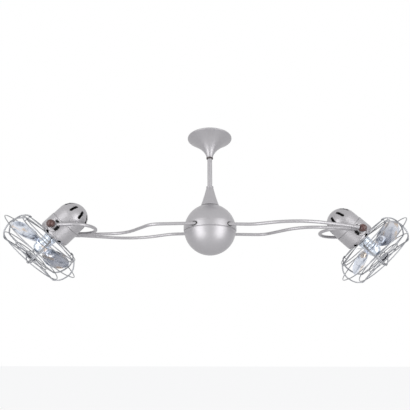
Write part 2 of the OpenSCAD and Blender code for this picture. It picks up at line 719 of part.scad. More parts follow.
// the flat scalloped wire round the ribs, with a tip at each petal
scallop_steps = 14;
scallop_line = [for (i = [0 : petal_count * scallop_steps - 1]) let (a = i / scallop_steps, c = abs(cos(180 * a)))
    to_xyz([360 * i / (petal_count * scallop_steps), guard_r + 2 * wire_r + 0.2 + tip_out * pow(c, 1.4), mid_at])];
function tangent(p, i) = unit(p[min(i + 1, len(p) - 1)] - p[max(i - 1, 0)]);
function carry(p, i) = i == 0 ? let (t = tangent(p, 0), u = cross(t, [0, 0, 1])) unit(u)
    : let (t = tangent(p, i), v = carry(p, i - 1)) unit(v - (v * t) * t);
wire_sides = 6;
module wire(p, r) {
    n = len(p);
    m = wire_sides;
    pts = [for (i = [0 : n - 1]) let (t = tangent(p, i), u = carry(p, i), w = cross(t, u))
        for (k = [0 : m - 1]) p[i] + r * (u * cos(360 * k / m) + w * sin(360 * k / m))];
    faces = concat([[for (k = [0 : m - 1]) k]],
        [for (i = [0 : n - 2]) for (k = [0 : m - 1]) let (a = i * m + k, b = i * m + (k + 1) % m) [a, a + m, b + m, b]],
        [[for (k = [m - 1 : -1 : 0]) (n - 1) * m + k]]);
    polyhedron(pts, faces, convexity = 10);
}

// a closed flat loop of wire
module loop_wire(p, r) {
    n = len(p);
    m = wire_sides;
    pts = [for (i = [0 : n - 1]) let (t = unit(p[(i + 1) % n] - p[(i + n - 1) % n]), u = [0, 0, 1], w = cross(t, u))
        for (k = [0 : m - 1]) p[i] + r * (u * cos(360 * k / m) + w * sin(360 * k / m))];
    polyhedron(pts, [for (i = [0 : n - 1]) for (k = [0 : m - 1])
        let (j = (i + 1) % n, q = (k + 1) % m) [i * m + k, j * m + k, j * m + q, i * m + q]], convexity = 10);
}

module guard_front(side) {
    color(chrome) head_place(side) along() rotate([0, 0, petal_half]) {
        for (i = [0 : petal_count - 1]) rotate([0, 0, 360 / petal_count * i]) {
            wire(rib_line, wire_r);
            mirror([0, 1, 0]) wire(rib_line, wire_r);
        }
        loop_wire(scallop_line, wire_r);
        for (r = [inner_ring_r, front_ring_r]) translate([0, 0, boss_at + front_rise - 2 * wire_r - 0.5])
            wire_ring(r);
    }
}

boss_t = 3;
module guard_boss(side) {
    color(chrome) head_place(side) along() {
        translate([0, 0, boss_at - wire_r - 0.2 - boss_t]) cylinder(r = boss_r, h = boss_t);
        translate([0, 0, boss_at - wire_r - 0.2]) cylinder(r = 6, h = 2 * wire_r + 2);
        translate([0, 0, boss_at + wire_r + 1.8]) cylinder(r = boss_r - 2, h = boss_t);
    }
}

// ---- blades ----
hub_back = motor_front + 5;
module blade_hub(side) {
    color(chrome) head_place(side) along() difference() {
        union() {
            translate([0, 0, hub_back]) cylinder(r = hub_r, h = blade_at - 8 - hub_back);
            translate([0, 0, hub_back + 4]) cylinder(r = hub_r + 1, h = 4);
            translate([0, 0, blade_at - 8]) cylinder(r = hub_r + 1, h = 6);
        }
        translate([0, 0, hub_back - over]) cylinder(r = shaft_r + fit, h = blade_at);
    }
}

root_r = hub_r + 1;
module blade_outline() {
    hull() {
        translate([root_r + 16.5, 0]) circle(r = 16, $fn = 32);
        translate([blade_tip - blade_w / 2 - 6, 0]) scale([0.86, 1]) circle(r = blade_w / 2, $fn = 48);
        translate([blade_tip - blade_w / 2 + 4, 0]) scale([0.86, 0.92]) circle(r = blade_w / 2 - 2, $fn = 48);
    }
}
module blades(side) {
    color(chrome) head_place(side) along() difference() {
        union() {
            for (i = [0 : blade_count - 1]) rotate([0, 0, 360 / blade_count * i - side * blade_start])
                translate([0, 0, blade_at]) rotate([blade_pitch, 0, 0]) linear_extrude(height = blade_t, center = true)
                    blade_outline();
            translate([0, 0, blade_at - 1.9]) cylinder(r = root_r + 6, h = 4.4);
        }
        translate([0, 0, blade_at - 20]) cylinder(r = shaft_r + fit, h = 40);
    }
}

spinner_h = 26;
spinner_r = hub_r + 1;
module spinner(side) {
    color(chrome) head_place(side) along() difference() {
        translate([0, 0, blade_at + 2.6]) rotate_extrude() polygon(concat([[0, 0], [spinner_r, 0]],
            [for (i = [0 : 9]) let (a = 10 * i) [spinner_r * cos(a), 5 + (spinner_h - 5) * sin(a)]], [[0, spinner_h]]));
        translate([0, 0, blade_at]) cylinder(r = shaft_r + fit, h = 9);
    }
}

ceiling_bracket();
hanger_ball();
cross_pin();
canopy();
collar_ring();
collar_screw();
downrod();
neck_cover();
spindle();
spindle_nut();
brush_block();
hub_casting();
hub_bearings();
slip_ring();
ball_upper();
ball_band();
ball_lower();
arm_grommets();
arm_curve(-1);  // arm_curve_left
arm_curve(1);  // arm_curve_right
arm_bow(-1);  // arm_bow_left
arm_bow(1);  // arm_bow_right
yoke(-1);  // yoke_left
yoke(1);  // yoke_right
arm_joint(-1);  // arm_joint_left
arm_joint(1);  // arm_joint_right
housing_front(-1);  // housing_front_left
housing_rear(-1);  // housing_rear_left
stator(-1);  // stator_left
winding(-1);  // winding_left
bearings(-1);  // bearings_left
pivot_bushes(-1);  // pivot_bushes_left
pivot_studs(-1);  // pivot_studs_left
guard_rear(-1);  // guard_rear_left
guard_front(-1);  // guard_front_left
guard_boss(-1);  // guard_boss_left
rotor(-1);  // rotor_left
blade_hub(-1);  // blade_hub_left
blades(-1);  // blades_left
spinner(-1);  // spinner_left
knob(-1, true);  // knob_near_left
knob(-1, false);  // knob_far_left
housing_front(1);  // housing_front_right
housing_rear(1);  // housing_rear_right
stator(1);  // stator_right
winding(1);  // winding_right
bearings(1);  // bearings_right
pivot_bushes(1);  // pivot_bushes_right
pivot_studs(1);  // pivot_studs_right
guard_rear(1);  // guard_rear_right
guard_front(1);  // guard_front_right
guard_boss(1);  // guard_boss_right
rotor(1);  // rotor_right
blade_hub(1);  // blade_hub_right
blades(1);  // blades_right
spinner(1);  // spinner_right
knob(1, true);  // knob_near_right
knob(1, false);  // knob_far_right
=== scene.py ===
import json
import math

import bpy
import bmesh
import numpy as np
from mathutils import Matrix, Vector


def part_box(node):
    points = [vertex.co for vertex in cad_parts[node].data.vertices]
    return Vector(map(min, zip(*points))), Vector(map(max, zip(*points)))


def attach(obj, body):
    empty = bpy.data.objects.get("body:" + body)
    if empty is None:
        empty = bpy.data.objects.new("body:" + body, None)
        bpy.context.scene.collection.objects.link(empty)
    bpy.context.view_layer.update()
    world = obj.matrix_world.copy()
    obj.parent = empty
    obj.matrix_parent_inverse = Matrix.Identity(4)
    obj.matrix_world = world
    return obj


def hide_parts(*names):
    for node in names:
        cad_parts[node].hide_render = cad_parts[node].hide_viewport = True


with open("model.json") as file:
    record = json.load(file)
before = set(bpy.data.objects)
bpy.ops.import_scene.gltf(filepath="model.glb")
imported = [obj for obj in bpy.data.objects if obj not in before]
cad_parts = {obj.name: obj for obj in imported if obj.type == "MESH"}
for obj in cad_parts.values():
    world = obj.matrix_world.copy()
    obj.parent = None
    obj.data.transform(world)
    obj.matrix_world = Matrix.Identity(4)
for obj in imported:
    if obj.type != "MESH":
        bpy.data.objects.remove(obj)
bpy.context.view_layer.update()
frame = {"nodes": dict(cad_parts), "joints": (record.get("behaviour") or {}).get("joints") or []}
mm = 0.001
sides = {"left": -1, "right": 1}
print("frame loaded:", len(frame["nodes"]), "nodes")


# ---- camera ----
cameraValues = {
    "lens": 32.49,            # on a 36 mm wide square picture
    "behindBall": 1146.4,     # from the ball's centre towards the viewer, mm
    "belowBall": 307.2,       # the camera stands lower than the ball, mm
    "pitch": 18.80,           # looks up, degrees
    "yaw": 0.806,             # turned a little to the left, degrees
}


def jointPlace(name):
    # the point and the unit axis of a joint at rest
    found = next(j for j in frame["joints"] if j["name"] == name)
    return np.array(found["pos_m"]), np.array(found["axis"], float)


ballCentre = jointPlace("arms_spin")[0]


def makeCamera(v):
    data = bpy.data.cameras.new("photoCamera")
    data.lens = v["lens"]
    data.sensor_width = 36
    data.clip_start = 0.05
    data.clip_end = 60
    cam = bpy.data.objects.new("photoCamera", data)
    bpy.context.scene.collection.objects.link(cam)
    cam.location = Vector(ballCentre) + Vector((0, -v["behindBall"] * mm, -v["belowBall"] * mm))
    cam.rotation_euler = (math.radians(90 + v["pitch"]), 0, math.radians(v["yaw"]))
    bpy.context.scene.camera = cam


makeCamera(cameraValues)
print("camera placed")


# ---- surfaces ----
weldReach = 2e-6   # points closer than this, in metres, are one point


def gridPart(points, wrapU=False, wrapV=False, keep=None):
    # points is an array (n, m, 3) of a surface over two parameters; returns vertices, quads and UVs
    n, m = points.shape[:2]
    iu = np.arange(n if wrapU else n - 1)
    iv = np.arange(m if wrapV else m - 1)
    u, v = np.meshgrid(iu, iv, indexing="ij")
    u1, v1 = (u + 1) % n, (v + 1) % m
    quads = np.stack([u * m + v, u1 * m + v, u1 * m + v1, u * m + v1], -1).reshape(-1, 4)
    uvs = np.stack([np.stack([u, v], -1), np.stack([u + 1, v], -1), np.stack([u + 1, v + 1], -1),
                    np.stack([u, v + 1], -1)], 2).reshape(-1, 4, 2) / np.array([n, m], float)
    if keep is not None:
        chosen = keep.reshape(-1)
        quads, uvs = quads[chosen], uvs[chosen]
    return points.reshape(-1, 3), quads, uvs


def turnedOut(part):
    # flips a part whose faces look inwards: the flux of the place through the surface is then negative
    verts, quads, uvs = part
    a, b, c, d = (verts[quads[:, k]] for k in range(4))
    normal = np.cross(c - a, d - b)
    centre = (a + b + c + d) / 4
    flux = np.sum(normal * (centre - centre.mean(0)))
    return (verts, quads[:, ::-1], uvs[:, ::-1]) if flux < 0 else part


def makePiece(name, parts, body, finishName, replaces=(), sharp=38, wall=0, inside=None):
    # joins parts to one mesh, welds seams and poles, and hangs the piece on its body; inside is the
    # finish of the faces that its wall adds
    parts = [turnedOut(p) for p in parts]
    first = np.cumsum([0] + [len(p[0]) for p in parts[:-1]])
    verts = np.concatenate([p[0] for p in parts])
    quads = np.concatenate([p[1] + f for p, f in zip(parts, first)])
    uvs = np.concatenate([p[2] for p in parts])
    mesh = bpy.data.meshes.new(name)
    mesh.vertices.add(len(verts))
    mesh.vertices.foreach_set("co", (verts * mm).astype(np.float32).ravel())
    mesh.loops.add(quads.size)
    mesh.loops.foreach_set("vertex_index", quads.astype(np.int32).ravel())
    mesh.polygons.add(len(quads))
    mesh.polygons.foreach_set("loop_start", np.arange(0, quads.size, 4, dtype=np.int32))
    mesh.update(calc_edges=True)
    mesh.uv_layers.new(name="pieceMap").data.foreach_set("uv", uvs.astype(np.float32).ravel())
    work = bmesh.new()
    work.from_mesh(mesh)
    bmesh.ops.remove_doubles(work, verts=work.verts, dist=weldReach)
    bmesh.ops.dissolve_degenerate(work, edges=work.edges, dist=1e-7)
    work.to_mesh(mesh)
    work.free()
    mesh.polygons.foreach_set("use_smooth", np.ones(len(mesh.polygons), bool))
    mesh.set_sharp_from_angle(angle=math.radians(sharp))
    mesh.materials.append(material[finishName])
    piece = bpy.data.objects.new(name, mesh)
    bpy.context.scene.collection.objects.link(piece)
    if wall:
        solid = piece.modifiers.new("wall", "SOLIDIFY")
        solid.thickness = wall * mm
        solid.offset = -1
        if inside:
            mesh.materials.append(material[inside])
            solid.material_offset = 1
            solid.material_offset_rim = 1
    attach(piece, body)
    if replaces:
        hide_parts(*replaces)


def roundedLine(corners, steps=6):
    # corners are (r, z, radius): a line whose corners are arcs of those radii
    made = []
    for i, (r, z, radius) in enumerate(corners):
        here = np.array([r, z], float)
        if radius <= 0 or i in (0, len(corners) - 1):
            made.append(here[None])
            continue
        before = np.array(corners[i - 1][:2], float) - here
        after = np.array(corners[i + 1][:2], float) - here
        la, lb = np.linalg.norm(before), np.linalg.norm(after)
        before, after = before / la, after / lb
        half = math.acos(max(-1, min(1, float(before @ after)))) / 2
        back = min(radius / math.tan(half), la * 0.5, lb * 0.5)
        real = back * math.tan(half)
        middle = here + (before + after) / np.linalg.norm(before + after) * real / math.sin(half)
        start, end = here + before * back - middle, here + after * back - middle
        t = np.linspace(0, 1, steps + 1)[:, None]
        way = start * (1 - t) + end * t
        made.append(middle + way / np.linalg.norm(way, axis=1)[:, None] * real)
    return np.concatenate(made)


def denser(line, step):
    # the same line with points no further apart than step
    out = [line[:1]]
    for a, b in zip(line[:-1], line[1:]):
        n = max(1, int(math.ceil(np.linalg.norm(b - a) / step)))
        out.append(a + (b - a) * (np.arange(1, n + 1) / n)[:, None])
    return np.concatenate(out)


def revolved(line, steps=96, closed=False):
    # a profile (r, z) turned about Z
    angle = np.arange(steps) * 2 * np.pi / steps
    x = line[:, 0, None] * np.cos(angle)
    y = line[:, 0, None] * np.sin(angle)
    z = np.repeat(line[:, 1, None], steps, 1)
    return gridPart(np.stack([x, y, z], -1), wrapU=closed, wrapV=True)


def tubePart(path, radius, sides=20, closed=False, capped=True):
    # a round tube round a path: rings square to the path, carried along it without a twist
    path = np.asarray(path, float)
    tangent = np.roll(path, -1, 0) - np.roll(path, 1, 0) if closed else np.gradient(path, axis=0)
    tangent /= np.linalg.norm(tangent, axis=1)[:, None]
    side = np.zeros_like(path)
    seed = np.array([0, 0, 1.0]) if abs(tangent[0][2]) < 0.9 else np.array([1.0, 0, 0])
    side[0] = np.cross(tangent[0], seed)
    side[0] /= np.linalg.norm(side[0])
    for i in range(1, len(path)):
        side[i] = side[i - 1] - (side[i - 1] @ tangent[i]) * tangent[i]
        side[i] /= np.linalg.norm(side[i])
    other = np.cross(tangent, side)
    radius = np.broadcast_to(radius, (len(path),)).astype(float)
    if capped and not closed:
        path = np.concatenate([path[:1], path, path[-1:]])
        side = np.concatenate([side[:1], side, side[-1:]])
        other = np.concatenate([other[:1], other, other[-1:]])
        radius = np.concatenate([[0], radius, [0]])
    angle = np.arange(sides) * 2 * np.pi / sides
    ring = side[:, None] * np.cos(angle)[None, :, None] + other[:, None] * np.sin(angle)[None, :, None]
    return gridPart(path[:, None] + ring * radius[:, None, None], wrapU=closed, wrapV=True)


def ballPart(centre, radii, steps=12):
    # an ellipsoid with its poles on Z
    up = np.linspace(-np.pi / 2, np.pi / 2, steps + 1)
    line = np.stack([np.cos(up), np.sin(up)], -1)
    verts, quads, uvs = revolved(line, 2 * steps)
    return verts * np.asarray(radii, float) + np.asarray(centre, float), quads, uvs


def moved(part, place):
    # a part with its points put through place
    return place(part[0]), part[1], part[2]


def headPlace(side):
    # puts points (along the fan's axis, along the pivot, upwards) of a head where it hangs
    pivot, axis = jointPlace("fan_spin_" + side)
    across = np.array([0.0, sides[side], 0.0])
    upwards = np.cross(axis, across)
    return lambda p: pivot / mm + p[..., :1] * axis + p[..., 1:2] * across + p[..., 2:3] * upwards


def lathe(place):
    # a part turned about Z comes to lie along a head's axis, its X pointing down
    return lambda p: place(np.stack([p[..., 2], p[..., 1], -p[..., 0]], -1))


def ballPlace(p):
    return p + ballCentre / mm


# how far the arms' plane lies over the ball's centre, and how it falls outwards in degrees
armValues = {"rise": 3.0, "droop": 1.1}


def armPlace(side):
    # puts points (outwards, sideways, upwards) of the arms' plane in place
    s, slope = sides[side], math.radians(armValues["droop"])
    start = ballCentre / mm + np.array([0, 0, armValues["rise"]])
    out = np.array([s * math.cos(slope), 0, -math.sin(slope)])
    across = np.array([0.0, s, 0.0])
    upwards = np.array([s * math.sin(slope), 0, math.cos(slope)])
    return lambda p: start + p[..., :1] * out + p[..., 1:2] * across + p[..., 2:3] * upwards


# ---- materials ----
def newGroup(name, inputs, outputs):
    # a node group with number sockets, its input node and its output node
    group = bpy.data.node_groups.new(name, "ShaderNodeTree")
    for label, value in inputs:
        socket = group.interface.new_socket(name=label, in_out="INPUT", socket_type="NodeSocketFloat")
        socket.default_value = value
    for label in outputs:
        group.interface.new_socket(name=label, in_out="OUTPUT", socket_type="NodeSocketFloat")
    return group, group.nodes.new("NodeGroupInput"), group.nodes.new("NodeGroupOutput")


def mathNode(tree, operation, a, b, clamp=False):
    # the outcome of an operation on two numbers or sockets
    node = tree.nodes.new("ShaderNodeMath")
    node.operation = operation
    node.use_clamp = clamp
    for socket, value in zip(node.inputs, (a, b)):
        if isinstance(value, (int, float)):
            socket.default_value = value
        else:
            tree.links.new(value, socket)
    return node.outputs[0]


def noiseNode(tree, vector, scale, detail=2.0, distortion=0.0):
    # noise on a vector; scale is a number or a socket
    node = tree.nodes.new("ShaderNodeTexNoise")
    tree.links.new(vector, node.inputs["Vector"])
    if isinstance(scale, (int, float)):
        node.inputs["Scale"].default_value = scale
    else:
        tree.links.new(scale, node.inputs["Scale"])
    node.inputs["Detail"].default_value = detail
    node.inputs["Distortion"].default_value = distortion
    return node.outputs["Fac"]


def objectCoords(tree):
    # the piece's own coordinates
    return tree.nodes.new("ShaderNodeTexCoord").outputs["Object"]


def makeGrainGroup():
    # two sizes of noise on the piece's own coordinates: a mask from 0 to 1 and a height
    group, given, out = newGroup("fineGrain", [("Scale", 900.0), ("Coarse", 0.06)], ["Mask", "Height"])
    coords = objectCoords(group)
    fine = noiseNode(group, coords, given.outputs["Scale"])
    coarse = mathNode(group, "MULTIPLY", given.outputs["Scale"], given.outputs["Coarse"])
    broad = noiseNode(group, coords, coarse, 3)
    mixed = mathNode(group, "MULTIPLY", mathNode(group, "ADD", fine, broad), 0.5)
    group.links.new(mixed, out.inputs["Mask"])
    group.links.new(fine, out.inputs["Height"])
    return group


def makeDustGroup():
    # a thin film on surfaces that look up, broken by noise
    group, given, out = newGroup("dustFilm", [("Amount", 0.1)], ["Mask"])
    parts = group.nodes.new("ShaderNodeSeparateXYZ")
    group.links.new(group.nodes.new("ShaderNodeNewGeometry").outputs["Normal"], parts.inputs[0])
    noise = noiseNode(group, objectCoords(group), 60, 4)
    facing = mathNode(group, "POWER", mathNode(group, "MAXIMUM", parts.outputs["Z"], 0.0), 2.0)
    film = mathNode(group, "MULTIPLY", facing, noise)
    film = mathNode(group, "MULTIPLY", film, given.outputs["Amount"], True)
    group.links.new(film, out.inputs["Mask"])
    return group


grainGroup = makeGrainGroup()
dustGroup = makeDustGroup()


def placeGroup(tree, group, **values):
    # a group in a material, with its numbers
    node = tree.nodes.new("ShaderNodeGroup")
    node.node_tree = group
    for label, value in values.items():
        node.inputs[label].default_value = value
    return node


def colourMix(tree, mask, a, b):
    # from colour a to colour b as the mask grows
    node = tree.nodes.new("ShaderNodeMix")
    node.data_type = "RGBA"
    for index, value in ((0, mask), (6, a), (7, b)):
        if isinstance(value, (tuple, list)):
            node.inputs[index].default_value = (*value, 1.0)
        else:
            tree.links.new(value, node.inputs[index])
    return node.outputs[2]


def spread(tree, value, low, high):
    # maps a mask from 0..1 to low..high
    node = tree.nodes.new("ShaderNodeMapRange")
    node.inputs["To Min"].default_value = low
    node.inputs["To Max"].default_value = high
    tree.links.new(value, node.inputs["Value"])
    return node.outputs["Result"]


def toneRamp(tree, value, stops):
    # stops are (place along the value, colour)
    ramp = tree.nodes.new("ShaderNodeValToRGB")
    for i, (place, tone) in enumerate(stops):
        stop = ramp.color_ramp.elements[i] if i < 2 else ramp.color_ramp.elements.new(place)
        stop.position = place
        stop.color = (*tone, 1)
    tree.links.new(value, ramp.inputs["Fac"])
    return ramp


def newMaterial(name):
    # a material, its node tree and its shader node
    made = bpy.data.materials.new(name)
    made.use_nodes = True
    return made, made.node_tree, made.node_tree.nodes["Principled BSDF"]


def addBump(tree, shader, height, strength, depth):
    # depth in mm
    bump = tree.nodes.new("ShaderNodeBump")
    bump.inputs["Strength"].default_value = strength
    bump.inputs["Distance"].default_value = depth * mm
    tree.links.new(height, bump.inputs["Height"])
    tree.links.new(bump.outputs["Normal"], shader.inputs["Normal"])


dustColour = (0.55, 0.54, 0.52)


def finish(name, v):
    # a finish from its values: two tones mixed by grain, dust, a roughness range and a fine bump
    made, tree, shader = newMaterial(name)
    grain = placeGroup(tree, grainGroup, Scale=v["grainScale"])
    dust = placeGroup(tree, dustGroup, Amount=v.get("dust", 0.0))
    colour = colourMix(tree, grain.outputs["Mask"], v["dark"], v["light"])
    colour = colourMix(tree, dust.outputs["Mask"], colour, dustColour)
    tree.links.new(colour, shader.inputs["Base Color"])
    tree.links.new(spread(tree, grain.outputs["Mask"], *v["rough"]), shader.inputs["Roughness"])
    addBump(tree, shader, grain.outputs["Height"], v.get("bump", 0.1), v.get("bumpDepth", 0.05))
    shader.inputs["Metallic"].default_value = v.get("metal", 1.0)
    if "shine" in v:
        shader.inputs["Specular IOR Level"].default_value = v["shine"]
    return made


finishes = {
    "silverPaint": {
        "dark": (0.37, 0.36, 0.375), "light": (0.47, 0.46, 0.475), "grainScale": 2600,
        "rough": (0.36, 0.46), "metal": 0.75, "bump": 0.25, "bumpDepth": 0.02, "dust": 0.1,
    },
    "chromeWire": {
        "dark": (0.27, 0.275, 0.29), "light": (0.35, 0.355, 0.375), "grainScale": 120,
        "rough": (0.28, 0.38), "bump": 0.04, "bumpDepth": 0.005,
    },
    "polishedHub": {
        "dark": (0.58, 0.64, 0.72), "light": (0.76, 0.81, 0.88), "grainScale": 40,
        "rough": (0.24, 0.3), "bump": 0.02, "bumpDepth": 0.005,
    },
    "darkCollar": {
        "dark": (0.07, 0.06, 0.06), "light": (0.13, 0.115, 0.115), "grainScale": 1800,
        "rough": (0.32, 0.45), "metal": 0.6, "bump": 0.2, "dust": 0.1,
    },
    "zincSteel": {
        "dark": (0.42, 0.42, 0.43), "light": (0.58, 0.58, 0.57), "grainScale": 1100,
        "rough": (0.28, 0.42), "bump": 0.2,
    },
    "castAlloy": {
        "dark": (0.45, 0.45, 0.46), "light": (0.6, 0.6, 0.61), "grainScale": 600,
        "rough": (0.45, 0.65), "bump": 0.6, "bumpDepth": 0.1,
    },
    "bearingSteel": {
        "dark": (0.5, 0.5, 0.52), "light": (0.62, 0.62, 0.64), "grainScale": 1500,
        "rough": (0.15, 0.25),
    },
    "laminationSteel": {
        "dark": (0.22, 0.22, 0.23), "light": (0.36, 0.36, 0.37), "grainScale": 1600,
        "rough": (0.4, 0.55), "bump": 0.4,
    },
    "copperWire": {
        "dark": (0.4, 0.13, 0.04), "light": (0.62, 0.24, 0.09), "grainScale": 900,
        "rough": (0.25, 0.4), "bump": 0.6, "bumpDepth": 0.2,
    },
    "slipBrass": {
        "dark": (0.55, 0.38, 0.14), "light": (0.68, 0.5, 0.22), "grainScale": 1300,
        "rough": (0.2, 0.35),
    },
    # near-black painted shade: the shells' inner walls, the holes' walls and the liner behind the slots
    "paintedShadeInside": {
        "dark": (0.003, 0.003, 0.003), "light": (0.008, 0.008, 0.008), "grainScale": 1500,
        "rough": (0.75, 0.95), "metal": 0.0, "shine": 0.05, "bump": 0.3, "bumpDepth": 0.04,
    },
    "blackPlastic": {
        "dark": (0.005, 0.005, 0.006), "light": (0.014, 0.014, 0.015), "grainScale": 1500,
        "rough": (0.5, 0.7), "metal": 0.0, "shine": 0.2, "bump": 0.35, "bumpDepth": 0.04,
    },
    "blackRubber": {
        "dark": (0.012, 0.012, 0.012), "light": (0.03, 0.029, 0.028), "grainScale": 1300,
        "rough": (0.6, 0.8), "metal": 0.0, "bump": 0.4, "bumpDepth": 0.05,
    },
}
material = {name: finish(name, values) for name, values in finishes.items()}

bladeReflectionTones = {
    # place along the noise and the tone there, all painted reflections: dark streaks and blue, bright and
    # warm areas
    "stops": [(0.31, (0.16, 0.16, 0.19)), (0.37, (0.46, 0.50, 0.58)), (0.46, (0.78, 0.82, 0.90)),
              (0.57, (0.84, 0.86, 0.91)), (0.63, (0.82, 0.68, 0.56)), (0.70, (0.84, 0.80, 0.76))],
    "reflectionPatches": 18.0, "stretch": (1.0, 1.6, 1.0), "bend": 0.6, "rough": (0.24, 0.32),
    "grainScale": 300.0, "bump": 0.03, "bumpDepth": 0.01, "metal": 0.85,
}


def stretched(tree, scale):
    # the piece's own coordinates, stretched
    mapping = tree.nodes.new("ShaderNodeMapping")
    mapping.inputs["Scale"].default_value = scale
    tree.links.new(objectCoords(tree), mapping.inputs["Vector"])
    return mapping.outputs["Vector"]


def makeBladeSteel(v):
    # mirror polish whose base colour carries painted reflections: soft streaks and areas of tone laid by
    # stretched noise
    made, tree, shader = newMaterial("polishedBlade")
    reflectionPatches = noiseNode(tree, stretched(tree, v["stretch"]), v["reflectionPatches"], 2, v["bend"])
    tree.links.new(toneRamp(tree, reflectionPatches, v["stops"]).outputs["Color"], shader.inputs["Base Color"])
    grain = placeGroup(tree, grainGroup, Scale=v["grainScale"])
    tree.links.new(spread(tree, grain.outputs["Mask"], *v["rough"]), shader.inputs["Roughness"])
    addBump(tree, shader, grain.outputs["Height"], v["bump"], v["bumpDepth"])
    shader.inputs["Metallic"].default_value = v["metal"]
    return made


material["polishedBlade"] = makeBladeSteel(bladeReflectionTones)

woodValues = {
    # place along the grain and the tone there: deep, middle and bright wood
    "stops": [(0.34, (0.03, 0.008, 0.006)), (0.5, (0.085, 0.022, 0.018)), (0.66, (0.15, 0.048, 0.038))],
    "rings": 180, "fibres": 1620, "along": 0.12, "bend": 1.5, "fibreShare": 0.35, "rough": (0.28, 0.42),
    "bump": 0.15, "bumpDepth": 0.05, "lacquer": 0.5, "lacquerRough": 0.08,
}


def makeWood(v):
    # turned wood: grain rings stretched along the knob's axis (Y), under a clear lacquer
    made, tree, shader = newMaterial("mahogany")
    coords = stretched(tree, (1.0, v["along"], 1.0))
    rings = noiseNode(tree, coords, v["rings"], 5, v["bend"])
    fibres = noiseNode(tree, coords, v["fibres"])
    wood = toneRamp(tree, rings, v["stops"]).outputs["Color"]
    colour = colourMix(tree, mathNode(tree, "MULTIPLY", fibres, v["fibreShare"]), wood, v["stops"][0][1])
    tree.links.new(colour, shader.inputs["Base Color"])
    tree.links.new(spread(tree, fibres, *v["rough"]), shader.inputs["Roughness"])
    addBump(tree, shader, fibres, v["bump"], v["bumpDepth"])
    shader.inputs["Coat Weight"].default_value = v["lacquer"]
    shader.inputs["Coat Roughness"].default_value = v["lacquerRough"]
    return made


material["mahogany"] = makeWood(woodValues)
print("materials made:", len(material))


# ---- canopy, collar, rod and neck ----
def boxMm(node):
    # the low and high corners of a node's box
    low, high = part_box(node)
    return np.array(low) / mm, np.array(high) / mm


boreRadius = 8.06   # the bores that the downrod passes through
rodWall = 1.6
canopyValues = {"neck": 10.9, "curve": 1.75, "rim": 3.0, "wall": 1.5, "bead": 0.9}


def makeCanopy(v):
    # a trumpet: the radius falls from the rim to the neck as a power of the height left
    low, high = boxMm("canopy")
    depth, rimRadius = -low[2], high[0]
    d = np.linspace(0, 1, 90)
    outer = v["neck"] + (rimRadius - v["neck"]) * (1 - d) ** v["curve"]
    z = -v["rim"] - (depth - v["rim"]) * d
    outside = np.stack([np.minimum(outer + v["wall"] * 0.4 * (1 - d), rimRadius), z], -1)
    rim = roundedLine([(rimRadius - v["wall"], 0, 0), (rimRadius, 0, 0.5),
                       (rimRadius, -v["rim"] + 0.2, v["bead"]), tuple(outside[2]) + (0,)], 5)
    inside = np.stack([np.maximum(outer - v["wall"], boreRadius), z + v["wall"] * 0.5], -1)[::-1]
    inside = inside[inside[:, 1] < -v["rim"]]
    foot = roundedLine([tuple(outside[-2]) + (0,), tuple(outside[-1]) + (0.6,), (boreRadius, z[-1], 0.3),
                        tuple(inside[1]) + (0,)], 4)
    line = np.concatenate([rim[:-1], outside[2:-1], foot[1:-1], inside[1:]])
    makePiece("canopyShell", [revolved(line, 160, closed=True)], "mount", "silverPaint", ["canopy"])


collarValues = {"groove": 0.3, "round": 0.6}


def makeCollar(v):
    # a ring with rounded edges and a fine groove round its middle
    low, high = boxMm("collar_ring")
    r, top, foot = high[0], high[2], low[2]
    mid = (top + foot) / 2
    groove = r - v["groove"]
    line = roundedLine([(boreRadius, top, 0), (r, top, v["round"]), (r, mid + 0.6, 0.2),
                        (groove, mid + 0.3, 0.1), (groove, mid - 0.1, 0.1), (r, mid - 0.4, 0.2),
                        (r, foot + 1.5, 0.8), (r - 1.5, foot, 0.5), (boreRadius, foot, 0)], 5)
    makePiece("lockCollar", [revolved(line, 96, closed=True)], "mount", "darkCollar", ["collar_ring"])


neckValues = {"lip": 7.0, "lipRadius": 12.0, "wall": 2.0, "straight": 0.85, "power": 3.0}


def makeNeck(v):
    # a bell: the radius grows with a straight share and a power of the way down
    low, high = boxMm("neck_cover")
    top, foot, footRadius = high[2], low[2], high[0]
    lipRadius = v["lipRadius"]
    t = np.linspace(0, 1, 80)
    share = v["straight"] * t + (1 - v["straight"]) * t ** v["power"]
    outer = lipRadius + (footRadius - lipRadius) * share
    z = top - v["lip"] - (top - v["lip"] - foot) * t
    lip = roundedLine([(boreRadius, top - v["lip"], 0), (boreRadius, top, 0.3),
                       (lipRadius - 0.2, top, 1.0), (lipRadius, top - v["lip"] + 1.4, 0.6),
                       (lipRadius - 0.7, top - v["lip"] + 0.6, 0.4), (outer[1], z[1], 0)], 5)
    foot2 = np.array([[footRadius - 0.15, foot], [footRadius - 0.45, foot + 0.25]])
    inside = np.stack([outer - v["wall"] * np.clip(0.2 + 6 * (1 - t), 0, 1), z], -1)[::-1][1:-1]
    line = np.concatenate([lip[:-1], np.stack([outer, z], -1)[1:], foot2, inside])
    makePiece("neckBell", [revolved(line, 128, closed=True)], "mount", "silverPaint", ["neck_cover"])


def makeRod(wall):
    # a straight tube
    low, high = boxMm("downrod")
    r = high[0]
    line = roundedLine([(r - wall, low[2], 0), (r, low[2], 0.5), (r, high[2], 0.5),
                        (r - wall, high[2], 0)], 4)
    line = denser(line, 8)
    makePiece("rodTube", [revolved(line, 64, closed=True)], "mount", "silverPaint", ["downrod"])


makeCanopy(canopyValues)
makeCollar(collarValues)
makeNeck(neckValues)
makeRod(rodWall)
print("canopy, collar, rod and neck made")


# ---- ball hub ----
ballValues = {"radius": 82.5, "wall": 2.0, "bandAt": 3.0, "bandHalf": 10.0, "bandRadius": 84.5,
              "bandWall": 1.6, "lipDepth": 0.8, "mouth": 16.0}
tubeValues = {"radius": 5.0, "sleeve": 6.8, "sleeveGap": 0.1, "curveAcross": 68.0, "bowAcross": 59.0}


